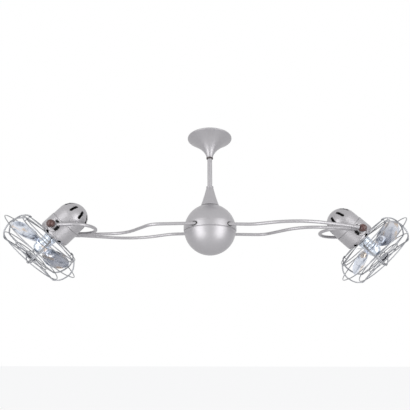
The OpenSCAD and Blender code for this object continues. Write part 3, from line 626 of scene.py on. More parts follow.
def ballShell(low, high, v, lip, closed):
    # a slice of a sphere between two heights, its wall turned in at the slice's edge
    inner = v["radius"] - v["wall"]
    a = np.linspace(math.asin(low / v["radius"]), math.asin(high / v["radius"]), 90)
    b = np.linspace(math.asin(high / inner) if high < inner else math.pi / 2,
                    math.asin(max(low, -inner) / inner), 60)
    outside = np.stack([v["radius"] * np.cos(a), v["radius"] * np.sin(a)], -1)
    inside = np.stack([inner * np.cos(b), inner * np.sin(b)], -1)
    edge = np.clip(1 - np.abs(outside[:, 1] - lip) / v["lipDepth"], 0, 1)
    outside[:, 0] -= 0.5 * edge ** 2
    return revolved(np.concatenate([outside, inside]), 192, closed=closed)


def makeBall(v):
    # the upper shell, open at the rod, and the lower shell, each up to the band
    top, foot = v["bandAt"] + v["bandHalf"], v["bandAt"] - v["bandHalf"]
    mouthAt = math.sqrt(v["radius"] ** 2 - v["mouth"] ** 2)
    upper = ballShell(top, mouthAt, v, top, True)
    lower = ballShell(-v["radius"], foot, v, foot, False)
    makePiece("ballUpperShell", [moved(upper, ballPlace)], "arms", "silverPaint", ["ball_upper"])
    makePiece("ballLowerShell", [moved(lower, ballPlace)], "arms", "silverPaint", ["ball_lower"])


def snapHoles(line, steps, distance, lip):
    # turns a profile about Z on a fine grid and opens holes in it. distance(p) is the distance to the
    # nearest hole's edge, negative inside. Points near an edge slide onto it, quads inside go, and the
    # surface rolls in along a quarter round of the radius lip round each hole
    length = np.concatenate([[0], np.cumsum(np.linalg.norm(np.diff(line, axis=0), axis=1))])
    s = np.repeat(length[:, None], steps, 1)
    angle = np.repeat(np.arange(steps)[None] * 2 * np.pi / steps, len(line), 0)

    def surfaceAt(s, angle):
        r = np.interp(s, length, line[:, 0])
        z = np.interp(s, length, line[:, 1])
        return np.stack([r * np.cos(angle), r * np.sin(angle), z], -1)

    cell = max(length[-1] / len(line), 2 * np.pi * line[:, 0].max() / steps)
    for _ in range(2):
        here = surfaceAt(s, angle)
        d = distance(here)
        r = np.maximum(np.hypot(here[..., 0], here[..., 1]), 1e-3)
        h = 0.05
        ds = (distance(surfaceAt(s + h, angle)) - distance(surfaceAt(s - h, angle))) / (2 * h)
        da = (distance(surfaceAt(s, angle + h / r)) - distance(surfaceAt(s, angle - h / r))) / (2 * h)
        size = np.maximum(ds ** 2 + da ** 2, 0.05)
        near = (np.abs(d) < 0.62 * cell) & (s > 0) & (s < length[-1])
        s = np.where(near, np.clip(s - d * ds / size, 0, length[-1]), s)
        angle = np.where(near, angle - d * da / size / r, angle)
    here = surfaceAt(s, angle)
    d = distance(here)
    corner = np.stack([here, np.roll(here, -1, 1)], 0).mean(0)
    middle = (corner[:-1] + corner[1:]) / 2
    keep = distance(middle) > 0
    normal = np.cross(np.gradient(here, axis=0), (np.roll(here, -1, 1) - np.roll(here, 1, 1)))
    normal /= np.maximum(np.linalg.norm(normal, axis=-1, keepdims=True), 1e-9)
    outward = np.sign(np.sum(normal * (here - here.mean((0, 1))), -1, keepdims=True))
    inward = lip * (1 - np.sqrt(1 - (1 - np.clip(d / lip, 0, 1)) ** 2))
    here = here - normal * outward * inward[..., None]
    return gridPart(here, wrapV=True, keep=keep)


def makeBand(v, t):
    # the band's crown: two fine beads at its edges and holes where the tubes pass
    top, foot = v["bandHalf"], -v["bandHalf"]
    r = v["bandRadius"]
    line = roundedLine([(r - 3.4, foot, 0), (r - 0.9, foot, 0.5), (r - 0.3, foot + 1.0, 0.5),
                        (r - 0.6, foot + 2.0, 0.4), (r, foot + 3.4, 1.2), (r, top - 3.4, 1.2),
                        (r - 0.6, top - 2.0, 0.4), (r - 0.3, top - 1.0, 0.5), (r - 0.9, top, 0.5),
                        (r - 3.4, top, 0)], 4)
    line = denser(line, 0.7)
    slope = math.tan(math.radians(armValues["droop"]))
    up = armValues["rise"] - v["bandAt"]

    def distance(p):
        d = np.full(p.shape[:-1], 1e3)
        for s in (1, -1):
            for across in (t["curveAcross"], -t["bowAcross"]):
                x = p[..., 0] * s
                high = p[..., 2] - up + x * slope
                away = np.hypot(p[..., 1] * s - across, high) - t["sleeve"] - t["sleeveGap"]
                d = np.minimum(d, np.where(x > 0, away, 1e3))
        return d

    part = snapHoles(line, 560, distance, 0.5)
    makePiece("ballBand", [moved(part, lambda p: ballPlace(p) + np.array([0, 0, v["bandAt"]]))], "arms",
              "silverPaint", ["ball_band"], wall=v["bandWall"])


def makeGrommets(v, t):
    # sleeves round the tubes, cut off along the band's curve and rounded there
    parts = []
    n = 64
    turn = np.arange(n) * 2 * np.pi / n
    for side in sides:
        for across in (t["curveAcross"], -t["bowAcross"]):
            rings = []
            for radius, reach in ((5.05, -2.5), (5.05, 0.1), (5.4, 0.4), (6.2, 0.4), (6.7, -0.1),
                                  (6.7, -2.5)):
                y = across + radius * np.cos(turn)
                z = radius * np.sin(turn)
                x = np.sqrt((v["bandRadius"] + reach) ** 2 - y ** 2)
                rings.append(np.stack([x, y, z], -1))
            parts.append(moved(gridPart(np.stack(rings), wrapU=True, wrapV=True), armPlace(side)))
    makePiece("tubeGrommets", parts, "arms", "blackRubber", ["arm_grommets"], sharp=60)


makeBall(ballValues)
makeBand(ballValues, tubeValues)
makeGrommets(ballValues, tubeValues)
print("ball hub made")


# ---- arms, joints and yokes ----
headValues = {"reach": 471.0, "offset": 31.5, "yokeRadius": 56.5, "yokeLeg": 54.5, "eyeRadius": 13.0,
              "eyeIn": 53.5, "eyeThick": 6.0, "eyeBore": 4.1}
routeValues = {
    "curve": {"across": 68.0, "straight": 154.0, "bendOut": 60.0, "angle": 46.0, "bendBack": 120.0,
              "heading": 0.0},
    "bow": {"across": -59.0, "straight": 110.0, "bendOut": 100.0, "angle": 24.0, "bendBack": 210.0,
            "heading": 20.0},
}
jointValues = {"from": 435.0, "length": 22.0, "sideStep": 11.5, "skin": 0.9}


def armRoute(r, start, end):
    # a run, a bend outwards, a run, a bend back and a run to the end; the middle run's length follows
    a, h = math.radians(r["angle"]), math.radians(r["heading"])
    fall = r["across"] - end[1] - r["bendOut"] * (1 - math.cos(a))
    fall += r["bendBack"] * (math.cos(a) - math.cos(h))
    rest = end[0] - r["straight"] - r["bendOut"] * math.sin(a) - r["bendBack"] * (math.sin(a) + math.sin(h))
    middle = (fall + rest * math.tan(h)) / (math.sin(a) + math.cos(a) * math.tan(h))
    x, y = np.array([start, r["straight"]]), np.array([r["across"], r["across"]])
    g = np.linspace(0, -a, 28)[1:]
    x1, y1 = x[-1] - r["bendOut"] * np.sin(g), y[-1] - r["bendOut"] * (1 - np.cos(g))
    x2, y2 = x1[-1] + middle * math.cos(a), y1[-1] - middle * math.sin(a)
    g = np.linspace(-a, h, 40)
    x3, y3 = x2 + r["bendBack"] * (np.sin(g) + math.sin(a)), y2 + r["bendBack"] * (math.cos(a) - np.cos(g))
    line = np.stack([np.concatenate([x, x1, x3, [end[0]]]), np.concatenate([y, y1, y3, [end[1]]])], -1)
    line = denser(line, 6)
    return np.column_stack([line, np.zeros(len(line))])


jointAcross = headValues["offset"] - headValues["yokeRadius"]
routeEnds = {"curve": (jointValues["from"] + jointValues["length"] - 4,
                       jointAcross - jointValues["sideStep"]),
             "bow": (jointValues["from"] + jointValues["length"] - 8,
                     jointAcross - 2 * jointValues["sideStep"])}
routeStarts = {"curve": 12.0, "bow": 28.0}


def makeArms(side):
    # both tubes of an arm along their routes
    place = armPlace(side)
    for kind in routeValues:
        path = armRoute(routeValues[kind], routeStarts[kind], routeEnds[kind])
        makePiece(kind + "Tube_" + side, [moved(tubePart(path, tubeValues["radius"], 32), place)], "arms",
                  "silverPaint", ["arm_%s_%s" % (kind, side)])


def makeJoint(side, j):
    # a brazed sleeve over the three tube ends: its height is a smooth maximum of the tubes' rounds
    r = tubeValues["radius"] + j["skin"]
    x = np.linspace(j["from"], j["from"] + j["length"], 40)
    lean = math.tan(math.radians(routeValues["bow"]["heading"]))
    low = routeEnds["bow"][1] - r - 0.6 + np.minimum(x - routeEnds["bow"][0], 0) * lean
    low += np.maximum(x - routeEnds["bow"][0], 0) * 0.4
    ends = np.clip(np.minimum(x - x[0], x[-1] - x) / 2.5, 0, 1)
    ends = np.sqrt(1 - (1 - ends) ** 2)
    across = (np.cos(np.linspace(0, np.pi, 60)) + 1) / 2
    y = low[:, None] + (jointAcross + r - low[:, None]) * across
    tubes = [np.full_like(x, jointAcross), np.full_like(x, routeEnds["curve"][1]),
             routeEnds["bow"][1] + (x - routeEnds["bow"][0]) * lean]
    height = sum(np.maximum(r * r - (y - c[:, None]) ** 2, 0) ** 4 for c in tubes) ** 0.125
    web = 3.6 * np.clip(4 * across * (1 - across) * 3, 0, 1)
    height = np.maximum(height, web) * (0.82 + 0.18 * ends[:, None])
    height[:, [0, -1]] = 0
    grid = np.concatenate([np.stack([np.repeat(x[:, None], 60, 1), y, height], -1),
                           np.stack([np.repeat(x[:, None], 60, 1), y, -height], -1)[:, ::-1][:, 1:-1]], 1)
    caps = grid[[0, -1]] * [1, 1, 0]
    grid = np.concatenate([caps[:1], grid, caps[1:]])
    makePiece("armSleeve_" + side, [moved(gridPart(grid, wrapV=True), armPlace(side))], "arms",
              "silverPaint", ["arm_joint_" + side], sharp=50)


def makeYoke(side, v):
    # a half round loop with straight legs, and a flat round eye with a bore at each end
    turn = np.linspace(-np.pi / 2, np.pi / 2, 60)[::-1]
    legX = v["reach"] - v["yokeLeg"]
    across = v["offset"] + v["yokeRadius"] * np.sin(turn)
    loop = np.stack([legX - v["yokeRadius"] * np.cos(turn), across], -1)
    stop = v["reach"] - v["eyeRadius"] / 2
    line = np.concatenate([[[stop, loop[0, 1]]], loop, [[stop, loop[-1, 1]]]])
    line = denser(line, 5)
    parts = [tubePart(np.column_stack([line, np.zeros(len(line))]), tubeValues["radius"], 32)]
    r, t, bore = v["eyeRadius"], v["eyeThick"], v["eyeBore"]
    eye = roundedLine([(bore, 0, 0), (r, 0, 1.6), (r, t, 1.6), (bore, t, 0)], 6)
    for s in (1, -1):
        verts, quads, uvs = revolved(eye, 64, closed=True)
        across = v["offset"] + s * (v["eyeIn"] + verts[:, 2])
        parts.append((np.stack([verts[:, 0] + v["reach"], across, verts[:, 1]], -1), quads, uvs))
    makePiece("yokeLoop_" + side, [moved(p, armPlace(side)) for p in parts], "arms", "silverPaint",
              ["yoke_" + side])


for side in sides:
    makeArms(side)
    makeJoint(side, jointValues)
    makeYoke(side, headValues)
print("arms, sleeves and yokes made")


# ---- motor housings ----
motorValues = {
    "radius": 50.0, "step": 1.5, "front": 29.0, "seam": 24.0, "rearStraight": 26.0, "edge": 13.0,
    "wall": 2.0, "shaftHole": 12.0, "ringOuter": 26.0, "ringInner": 19.0, "ringDeep": 0.8,
    "slots": 8, "slotWidth": 8.0, "slotLength": 22.0, "slotLean": 35.0, "holes": 6, "holeRadius": 5.8,
    "recess": 19.5, "recessFloor": 44.5, "studBore": 4.2,
    # the fine grids that the holes are opened in: a step along the line and steps round the axis
    "frontStep": 0.95, "frontTurns": 408, "rearStep": 1.05, "rearTurns": 384,
}


def axialToHead(p):
    # a turned part's point as lathe() lays it down: along the fan's axis, along the pivot and upwards
    return p[..., 2], p[..., 1], -p[..., 0]


def frontHoles(v):
    # the round recesses of the pivots and the air holes, whose axes lean 45 degrees through the front edge
    def distance(p):
        along, across, up = axialToHead(p)
        d = np.hypot(along, up) - v["recess"]
        d = np.where(np.abs(across) > 25, d, 1e3)
        lean = math.sqrt(0.5)
        for i in range(v["holes"]):
            a = 2 * math.pi * (i + 0.5) / v["holes"]
            ring, out = v["radius"] - v["edge"], np.array([lean, -math.sin(a) * lean, math.cos(a) * lean])
            q = np.stack([along - (v["front"] - v["edge"]), across + math.sin(a) * ring,
                          up - math.cos(a) * ring], -1)
            reach = q @ out
            away = np.linalg.norm(q - reach[..., None] * out, axis=-1) - v["holeRadius"]
            d = np.minimum(d, np.where(reach > 0, away, 1e3))
        return d
    return distance


def rearSlots(v):
    # slots with round ends round the dome, each square to a line that leans back by slotLean
    def distance(p):
        along, across, up = axialToHead(p)
        d = np.full(along.shape, 1e3)
        lean = math.radians(v["slotLean"])
        for i in range(v["slots"]):
            a = 2 * math.pi * i / v["slots"]
            radial = up * math.cos(a) - across * math.sin(a)
            side = across * math.cos(a) + up * math.sin(a)
            back = along + v["seam"] + v["rearStraight"]
            outwards = radial * math.cos(lean) - back * math.sin(lean)
            lengthwise = radial * math.sin(lean) + back * math.cos(lean)
            past = np.maximum(np.abs(lengthwise) - v["slotLength"] / 2, 0)
            away = np.hypot(past, side) - v["slotWidth"] / 2
            d = np.minimum(d, np.where(outwards > 20, away, 1e3))
        return d
    return distance


def makeHousings(side, v):
    body = "head_" + side
    place = lathe(headPlace(side))
    r, rear = v["radius"], v["radius"] - v["step"]
    # front shell: turned-in lip at the seam, straight wall, big round front edge, face with a shallow ring
    face, outer, inner, floor = v["front"], v["ringOuter"], v["ringInner"], v["front"] - v["ringDeep"]
    line = roundedLine([(rear + 0.1, -v["seam"], 0), (r, -v["seam"], 0.6), (r, face, v["edge"]),
                        (outer, face, 0.6), (outer - 1, floor, 0.6), (inner + 1, floor, 0.6),
                        (inner, face, 0.6), (v["shaftHole"], face, 0)], 12)
    front = snapHoles(denser(line, v["frontStep"]), v["frontTurns"], frontHoles(v), 0.8)
    # the wall's inner faces and the holes' walls take the near-black painted shade
    makePiece("motorFront_" + side, [moved(front, place)], body, "silverPaint", ["housing_front_" + side],
              wall=v["wall"], sharp=50, inside="paintedShadeInside")
    # rear shell: straight wall and a half round dome
    back = -v["seam"] - v["rearStraight"]
    turn = np.linspace(0, np.pi / 2, 120)
    dome = np.stack([rear * np.cos(turn), back - rear * np.sin(turn)], -1)
    line = np.concatenate([[[rear - 0.4, -v["seam"]], [rear, -v["seam"] - 0.6]], dome])
    shell = snapHoles(denser(line, v["rearStep"]), v["rearTurns"], rearSlots(v), 0.9)
    # the wall's inner faces and the slots' walls take the near-black painted shade
    makePiece("motorRear_" + side, [moved(shell, place)], body, "silverPaint", ["housing_rear_" + side],
              wall=v["wall"], sharp=50, inside="paintedShadeInside")


shadeLinerValues = {"radius": 44.8, "frontRadius": 45.2, "frontFrom": 9.0, "frontTo": 25.6, "share": 0.985}


def makeShadeLiner(side, v, m):
    # a near-black sheet of painted shade just inside the shells, which the slots and holes look onto: a half
    # round dome,
    #  and a ring with a round front edge
    place = lathe(headPlace(side))
    back = -m["seam"] - m["rearStraight"]
    turn = np.linspace(0, np.pi / 2, 60)
    dome = np.stack([v["radius"] * np.cos(turn), back - v["radius"] * np.sin(turn)], -1)
    inner = (dome - [0, back]) * v["share"] + [0, back]
    r = v["frontRadius"]
    cup = roundedLine([(24, v["frontTo"] - 0.6, 0), (24, v["frontTo"], 0.2),
                       (r, v["frontTo"], m["edge"] - 3), (r, v["frontFrom"], 0),
                       (r - 0.7, v["frontFrom"], 0), (r - 0.7, v["frontTo"] - 0.7, m["edge"] - 3.5),
                       (24.4, v["frontTo"] - 0.7, 0)], 10)
    parts = [revolved(np.concatenate([dome, inner[::-1]]), 96), revolved(cup, 96, closed=True)]
    makePiece("motorShadeLiner_" + side, [moved(p, place) for p in parts], "head_" + side,
              "paintedShadeInside", sharp=50)


def pivotPlace(side, outward):
    # a part turned about Z comes to lie along the pivot, growing outwards on the near (-1) or far (1) side
    place = headPlace(side)
    return lambda p: place(np.stack([p[..., 0], p[..., 2] * outward, p[..., 1]], -1))


plateValues = {"inner": 10.3, "outer": 19.2, "height": 2.1, "thick": 0.35, "slotRadius": 14.8,
               "slotHalf": 4.1, "slotAway": 45.0, "slotReach": 33.0}


def recessPlate(towards, base, v):
    # a thin ring in the recess with two curved openings beside the yoke's leg: towards their ends the half
    # width falls as the root of one less the fourth power of the angle, so that the ends are round
    n = 240
    step = np.arange(n) * 2 * np.pi / n
    turn, away = np.radians(towards) + step, np.degrees(step)
    share = np.minimum(np.abs(away - v["slotAway"]), np.abs(away - 360 + v["slotAway"])) / v["slotReach"]
    half = v["slotHalf"] * np.sqrt(np.clip(1 - share ** 4, 0, 1))
    low, high = v["slotRadius"] - half, v["slotRadius"] + half
    inner, outer = np.full(n, v["inner"]), np.full(n, v["outer"])
    rows = [(inner, 0), (inner, 1), (low, 1), (low, 0), (high, 0), (high, 1), (outer, 1), (outer, 0)]
    grid = np.stack([np.stack([r * np.cos(turn), r * np.sin(turn),
                               np.full(n, base + v["height"] + v["thick"] * up)], -1) for r, up in rows])
    # rows 2 and 4 are the openings' walls, row 3 is the opening itself
    keep = np.ones((len(rows) - 1, n), bool)
    keep[3] = False
    closed = (half < 0.02) & (np.roll(half, -1) < 0.02)
    keep[2, closed] = keep[4, closed] = False
    return gridPart(grid, wrapV=True, keep=keep)


def makeRecess(side, v):
    # the wall of the round recess, from the shell's surface down to its floor, and the black bush in it
    parts, bushes, plates = [], [], []
    turn = np.arange(96) * 2 * np.pi / 96
    along, up = v["recess"] * np.cos(turn), v["recess"] * np.sin(turn)
    past = np.maximum(along - (v["front"] - v["edge"]), 0)
    radius = v["radius"] - v["edge"] + np.sqrt(v["edge"] ** 2 - past ** 2)
    top = np.sqrt(radius ** 2 - up ** 2) - 0.5
    floor = np.full_like(top, v["recessFloor"] - 0.6)
    rows = [(1.0, top), (1.0, floor + 0.6), (0.985, floor + 0.2), (0.4, floor), (0.4, floor - 1.4),
            (1.06, floor - 1.4), (1.06, top - 0.8)]
    grid = np.stack([np.stack([along * k, up * k, z], -1) for k, z in rows])
    base = v["recessFloor"]
    bush = roundedLine([(v["studBore"], base, 0), (v["recess"] - 0.4, base, 0.3),
                        (v["recess"] - 0.4, base + 2, 0.5), (14.6, base + 2, 0.4),
                        (14.0, base + 1.2, 0.3), (11.6, base + 1.2, 0.3), (10.8, base + 2, 0.3),
                        (10, base + 2.2, 0.4), (10, headValues["eyeIn"] - 0.1, 0.8),
                        (v["studBore"], headValues["eyeIn"] - 0.1, 0)], 4)
    for outward in (1, -1):
        parts.append(moved(gridPart(grid, wrapU=True, wrapV=True), pivotPlace(side, outward)))
        bushes.append(moved(revolved(bush, 72, closed=True), pivotPlace(side, outward)))
        tilt = math.degrees(math.asin(-jointPlace("fan_spin_" + side)[1][2]))
        plates.append(moved(recessPlate(180 + tilt, base, plateValues), pivotPlace(side, outward)))
    makePiece("pivotCup_" + side, parts, "head_" + side, "silverPaint", sharp=50)
    makePiece("pivotPlate_" + side, plates, "head_" + side, "silverPaint", sharp=50)
    makePiece("pivotBush_" + side, bushes, "head_" + side, "blackPlastic", ["pivot_bushes_" + side])


knobValues = {"radius": 12.5, "base": 59.8, "middle": 0.72, "bore": 4.2, "boreDeep": 8.0}


def makeKnobs(side, v):
    # a turned ball with a flat foot, a fine bead next to it and a shallow dimple on its crown
    r = v["radius"]
    centre = v["base"] + r * v["middle"]
    low = -math.asin(v["middle"])
    turn = np.linspace(low, math.pi / 2, 70)
    ball = np.stack([r * np.cos(turn), centre + r * np.sin(turn)], -1)
    ball[:, 0] -= 0.35 * np.exp(-((ball[:, 1] - v["base"] - 2.4) / 0.35) ** 2)
    ball[:, 1] -= 0.5 * np.exp(-(ball[:, 0] / 2.2) ** 2)
    foot = roundedLine([(v["bore"], v["base"] + 0.2, 0), (v["bore"] + 0.4, v["base"], 0.1),
                        (ball[0, 0] - 0.5, v["base"], 0.4), tuple(ball[1]) + (0,)], 4)
    end = v["base"] + v["boreDeep"]
    line = np.concatenate([[[0.0, end]], [[v["bore"], end]], foot[:-1], ball[1:]])
    for name, outward in (("near", -1), ("far", 1)):
        makePiece("%sKnob_%s" % (name, side), [moved(revolved(line, 72), pivotPlace(side, outward))],
                  "knob_%s_%s" % (name, side), "mahogany", ["knob_%s_%s" % (name, side)])


for side in sides:
    makeHousings(side, motorValues)
    makeShadeLiner(side, shadeLinerValues, motorValues)
    makeRecess(side, motorValues)
    makeKnobs(side, knobValues)
print("motors and knobs made")


# ---- wire cages ----
cageValues = {
    "petals": 6, "wire": 1.5, "gap": 0.3, "round": 12, "radius": 130.0, "tip": 5.0, "boss": 21.0,
    "frontAt": 114.0, "rise": 2.0, "innerRing": 60.0, "frontRing": 104.0,
    "plate": 34.0, "rearRing": 102.0, "rearAt": 37.0, "rearStep": 8.0,
    "ribWeld": (2.0, 2.0, 1.5), "tipWeld": (2.4, 2.4, 1.6), "ringWeld": (2.3, 2.3, 2.0),
    "rivet": (3.2, 3.2, 1.4),
}


def smoothLine(points, steps):
    # a curve through the points (Catmull-Rom)
    p = np.asarray(points, float)
    p = np.concatenate([p[:1], p, p[-1:]])
    a, b, c, d = p[:-3, None], p[1:-2, None], p[2:-1, None], p[3:, None]
    t = (np.arange(steps) / steps)[None, :, None]
    curve = 0.5 * (2 * b + (c - a) * t + (2 * a - 5 * b + 4 * c - d) * t ** 2
                   + (3 * b - a - 3 * c + d) * t ** 3)
    return np.concatenate([curve.reshape(-1, p.shape[1]), p[-1:]])


def polar(angle, radius, along):
    # a point of the cage, ready for lathe(): angle in degrees round the fan's axis
    angle = np.radians(angle)
    return np.stack([radius * np.cos(angle), radius * np.sin(angle), along + 0 * radius], -1)


def ribLine(v):
    # one rib as (angle from its petal's middle, radius, place along the axis): out from the boss over the
    # front, round the shoulder, back beside its neighbour and in under the rear ring
    half = 180 / v["petals"]
    middle = (v["frontAt"] + v["rearAt"]) / 2
    rear = v["rearAt"] - 2 * v["wire"] - v["gap"]

    def beside(r):
        return half - math.degrees(math.asin((v["wire"] + v["gap"]) / r))

    top = v["frontAt"] + v["rise"]
    r, f = v["radius"], v["frontRing"]
    front, ring, back = v["frontAt"], v["rearRing"], v["rearAt"]
    points = [(half * 0.25, 13, front), (half * 0.3, 30, front + v["rise"] * 0.4),
              (half * 0.58, 52, front + v["rise"] * 0.8), (half * 0.82, f - 28, top),
              (beside(f) - 0.8, f - 9, top), (beside(f), f, top), (beside(f), f + 4, top - 1.2),
              (beside(r), r - 17, front - 4), (beside(r), r - 9, front - 12), (beside(r), r - 3, front - 24),
              (beside(r), r, middle), (beside(r), r, back + 30), (beside(r), r - 4, back + 17),
              (beside(r), r - 12, back + 7), (beside(ring), ring + 6, rear + 2),
              (beside(ring), ring - 3, rear)]
    return smoothLine(points, 8), middle


def wireRing(radius, along, v):
    # a ring of the cage's wire
    n = 144
    line = polar(np.arange(n) * 360 / n, np.full(n, float(radius)), np.full(n, float(along)))
    return tubePart(line, v["wire"], v["round"], closed=True)


def weldAt(angle, radius, along, size):
    # a flat bead with the radii size, finer for the larger ones
    return ballPart(polar(angle, np.array(float(radius)), along), size, 8 if size[0] > 3 else 6)


def makeCage(side, v):
    # front: two ribs for each petal, the pointed wire round them, whose radius grows between the ribs as a
    # power of a cosine, and two rings under them
    body, place = "head_" + side, lathe(headPlace(side))
    rib, middle = ribLine(v)
    top = v["frontAt"] + v["rise"]
    ringAt = top - 2 * v["wire"] - 0.5
    parts, welds = [], []
    for i in range(v["petals"]):
        for s in (1, -1):
            angle = 360 / v["petals"] * (i + 0.5) + s * rib[:, 0]
            parts.append(tubePart(polar(angle, rib[:, 1], rib[:, 2]), v["wire"], v["round"]))
            for r in (v["innerRing"], v["frontRing"]):
                at = float(np.interp(r, rib[:60, 1], angle[:60]))
                welds.append(weldAt(at, r, ringAt + v["wire"] + 0.25, v["ribWeld"]))
    n = v["petals"] * 48
    share = np.abs(np.cos(np.pi * np.arange(n) / 48))
    reach = v["radius"] + 2 * v["wire"] + 0.2 + v["tip"] * share ** 1.4
    petal = polar(180 / v["petals"] + 360 * np.arange(n) / n, reach, np.full(n, middle))
    parts.append(tubePart(petal, v["wire"], v["round"], closed=True))
    parts += [wireRing(v[ring], ringAt, v) for ring in ("innerRing", "frontRing")]
    for i in range(v["petals"]):
        welds.append(weldAt(360 / v["petals"] * i, v["radius"] + v["wire"] + 0.1, middle, v["tipWeld"]))
    makePiece("cageFront_" + side, [moved(p, place) for p in parts + welds], body, "chromeWire",
              ["guard_front_" + side], sharp=60)
    # rear: a plate on the motor's face, spokes, two rings and the posts between them
    face = motorValues["front"]
    plate = roundedLine([(20, face, 0), (v["plate"], face, 0.7), (v["plate"], face + 2, 0.9),
                         (20, face + 2, 0.6)], 4)
    parts = [revolved(plate, 96, closed=True)]
    parts += [wireRing(v["rearRing"], v["rearAt"] + z, v) for z in (0, v["rearStep"])]
    for i in range(v["petals"]):
        a = 360 / v["petals"] * i
        t = np.linspace(0, 1, 24)
        r = v["plate"] - 4 + (v["rearRing"] - v["plate"] + 4) * t
        z = face + 2 + (v["rearAt"] - face - 2) * t
        parts.append(tubePart(polar(a, r, z), v["wire"], v["round"]))
        post = polar(a, np.full(5, v["rearRing"]), v["rearAt"] + v["rearStep"] * np.linspace(0, 1, 5))
        parts.append(tubePart(post, v["wire"] * 0.9, 10))
        for z in (0, v["rearStep"]):
            parts.append(weldAt(a, v["rearRing"], v["rearAt"] + z, v["ringWeld"]))
        parts.append(weldAt(a, v["plate"] - 3.0, face + 2.4, v["rivet"]))
    makePiece("cageRear_" + side, [moved(p, place) for p in parts], body, "chromeWire",
              ["guard_rear_" + side], sharp=60)
    # boss: two discs that clamp the ribs' ends, with a turned front
    base = v["frontAt"] - v["wire"] - 0.2
    outer = v["frontAt"] + v["wire"] + 1.8
    r = v["boss"]
    boss = roundedLine([(0, base - 3, 0), (r, base - 3, 0.8), (r, base, 0.8), (6, base, 0.3),
                        (6, outer, 0.3), (r - 2, outer, 0.8), (r - 2, outer + 2.2, 0.9),
                        (14, outer + 2.4, 0.4), (13.4, outer + 1.6, 0.4), (10, outer + 1.6, 0.4),
                        (9.4, outer + 2.8, 0.4), (0, outer + 3, 0)], 5)
    makePiece("cageBoss_" + side, [moved(revolved(boss, 96), place)], body, "chromeWire",
              ["guard_boss_" + side])


for side in sides:
    makeCage(side, cageValues)
print("wire cages made")


# ---- fans ----
bladeValues = {
    "count": 3, "start": 12.0, "at": 68.0, "root": 21.6, "widest": 73.0, "tip": 113.0,
    "half": 37.0, "rootHalf": 8.0, "thick": 1.6, "pitch": 38.0, "twist": 1.5, "camber": 3.0,
    "domeAt": 43.0, "dome": 12.5, "domeHigh": 4.5, "domeUp": 1.2, "domeShare": 0.8,
}
hubValues = {
    "radius": 20.0, "from": 34.0, "noseHigh": 26.0, "disc": 7.0, "bore": 4.1, "collar": 1.0, "groove": 0.4,
}


def bladeSurface(v):
    # a paddle: half width grows as a sine from the root and closes as a superellipse at the tip;
    # the section is a flat superellipse bent to a camber, pitched with a slight twist
    t = (1 - np.cos(np.linspace(0, np.pi, 110))) / 2
    r = v["root"] + (v["tip"] - v["root"]) * t
    inner = np.clip((r - v["root"]) / (v["widest"] - v["root"]), 0, 1)
    half = v["rootHalf"] + (v["half"] - v["rootHalf"]) * np.sin(inner * np.pi / 2) ** 0.8
    outer = np.clip((r - v["widest"]) / (v["tip"] - v["widest"]), 0, 1)
    half *= (1 - outer ** 2.3) ** (1 / 2.3)
    turn = np.arange(96) * 2 * np.pi / 96
    width = half[:, None] * np.cos(turn)
    share = np.cos(turn)[None]
    thick = v["thick"] / 2 * np.sign(np.sin(turn)) * np.abs(np.sin(turn)) ** 0.35
    closing = np.clip(half / 3, 0, 1)[:, None]
    bent = v["camber"] * (half / v["half"])[:, None] * (1 - share ** 2)
    high = thick[None] * closing + bent * np.clip((r - 30) / 20, 0, 1)[:, None]
    pitch = np.radians(v["pitch"] + v["twist"] * (1 - 2 * t))[:, None]
    y = width * np.cos(pitch) - high * np.sin(pitch)
    z = width * np.sin(pitch) + high * np.cos(pitch)
    grid = np.stack([np.repeat(r[:, None], 96, 1), y, z + v["at"]], -1)
    cap = grid[:1].mean(1, keepdims=True).repeat(96, 1)
    return np.concatenate([cap, grid])


def spun(points, degrees):
    # points turned about Z
    a = math.radians(degrees)
    x, y = points[..., 0], points[..., 1]
    return np.stack([x * math.cos(a) - y * math.sin(a), x * math.sin(a) + y * math.cos(a),
                     points[..., 2]], -1)


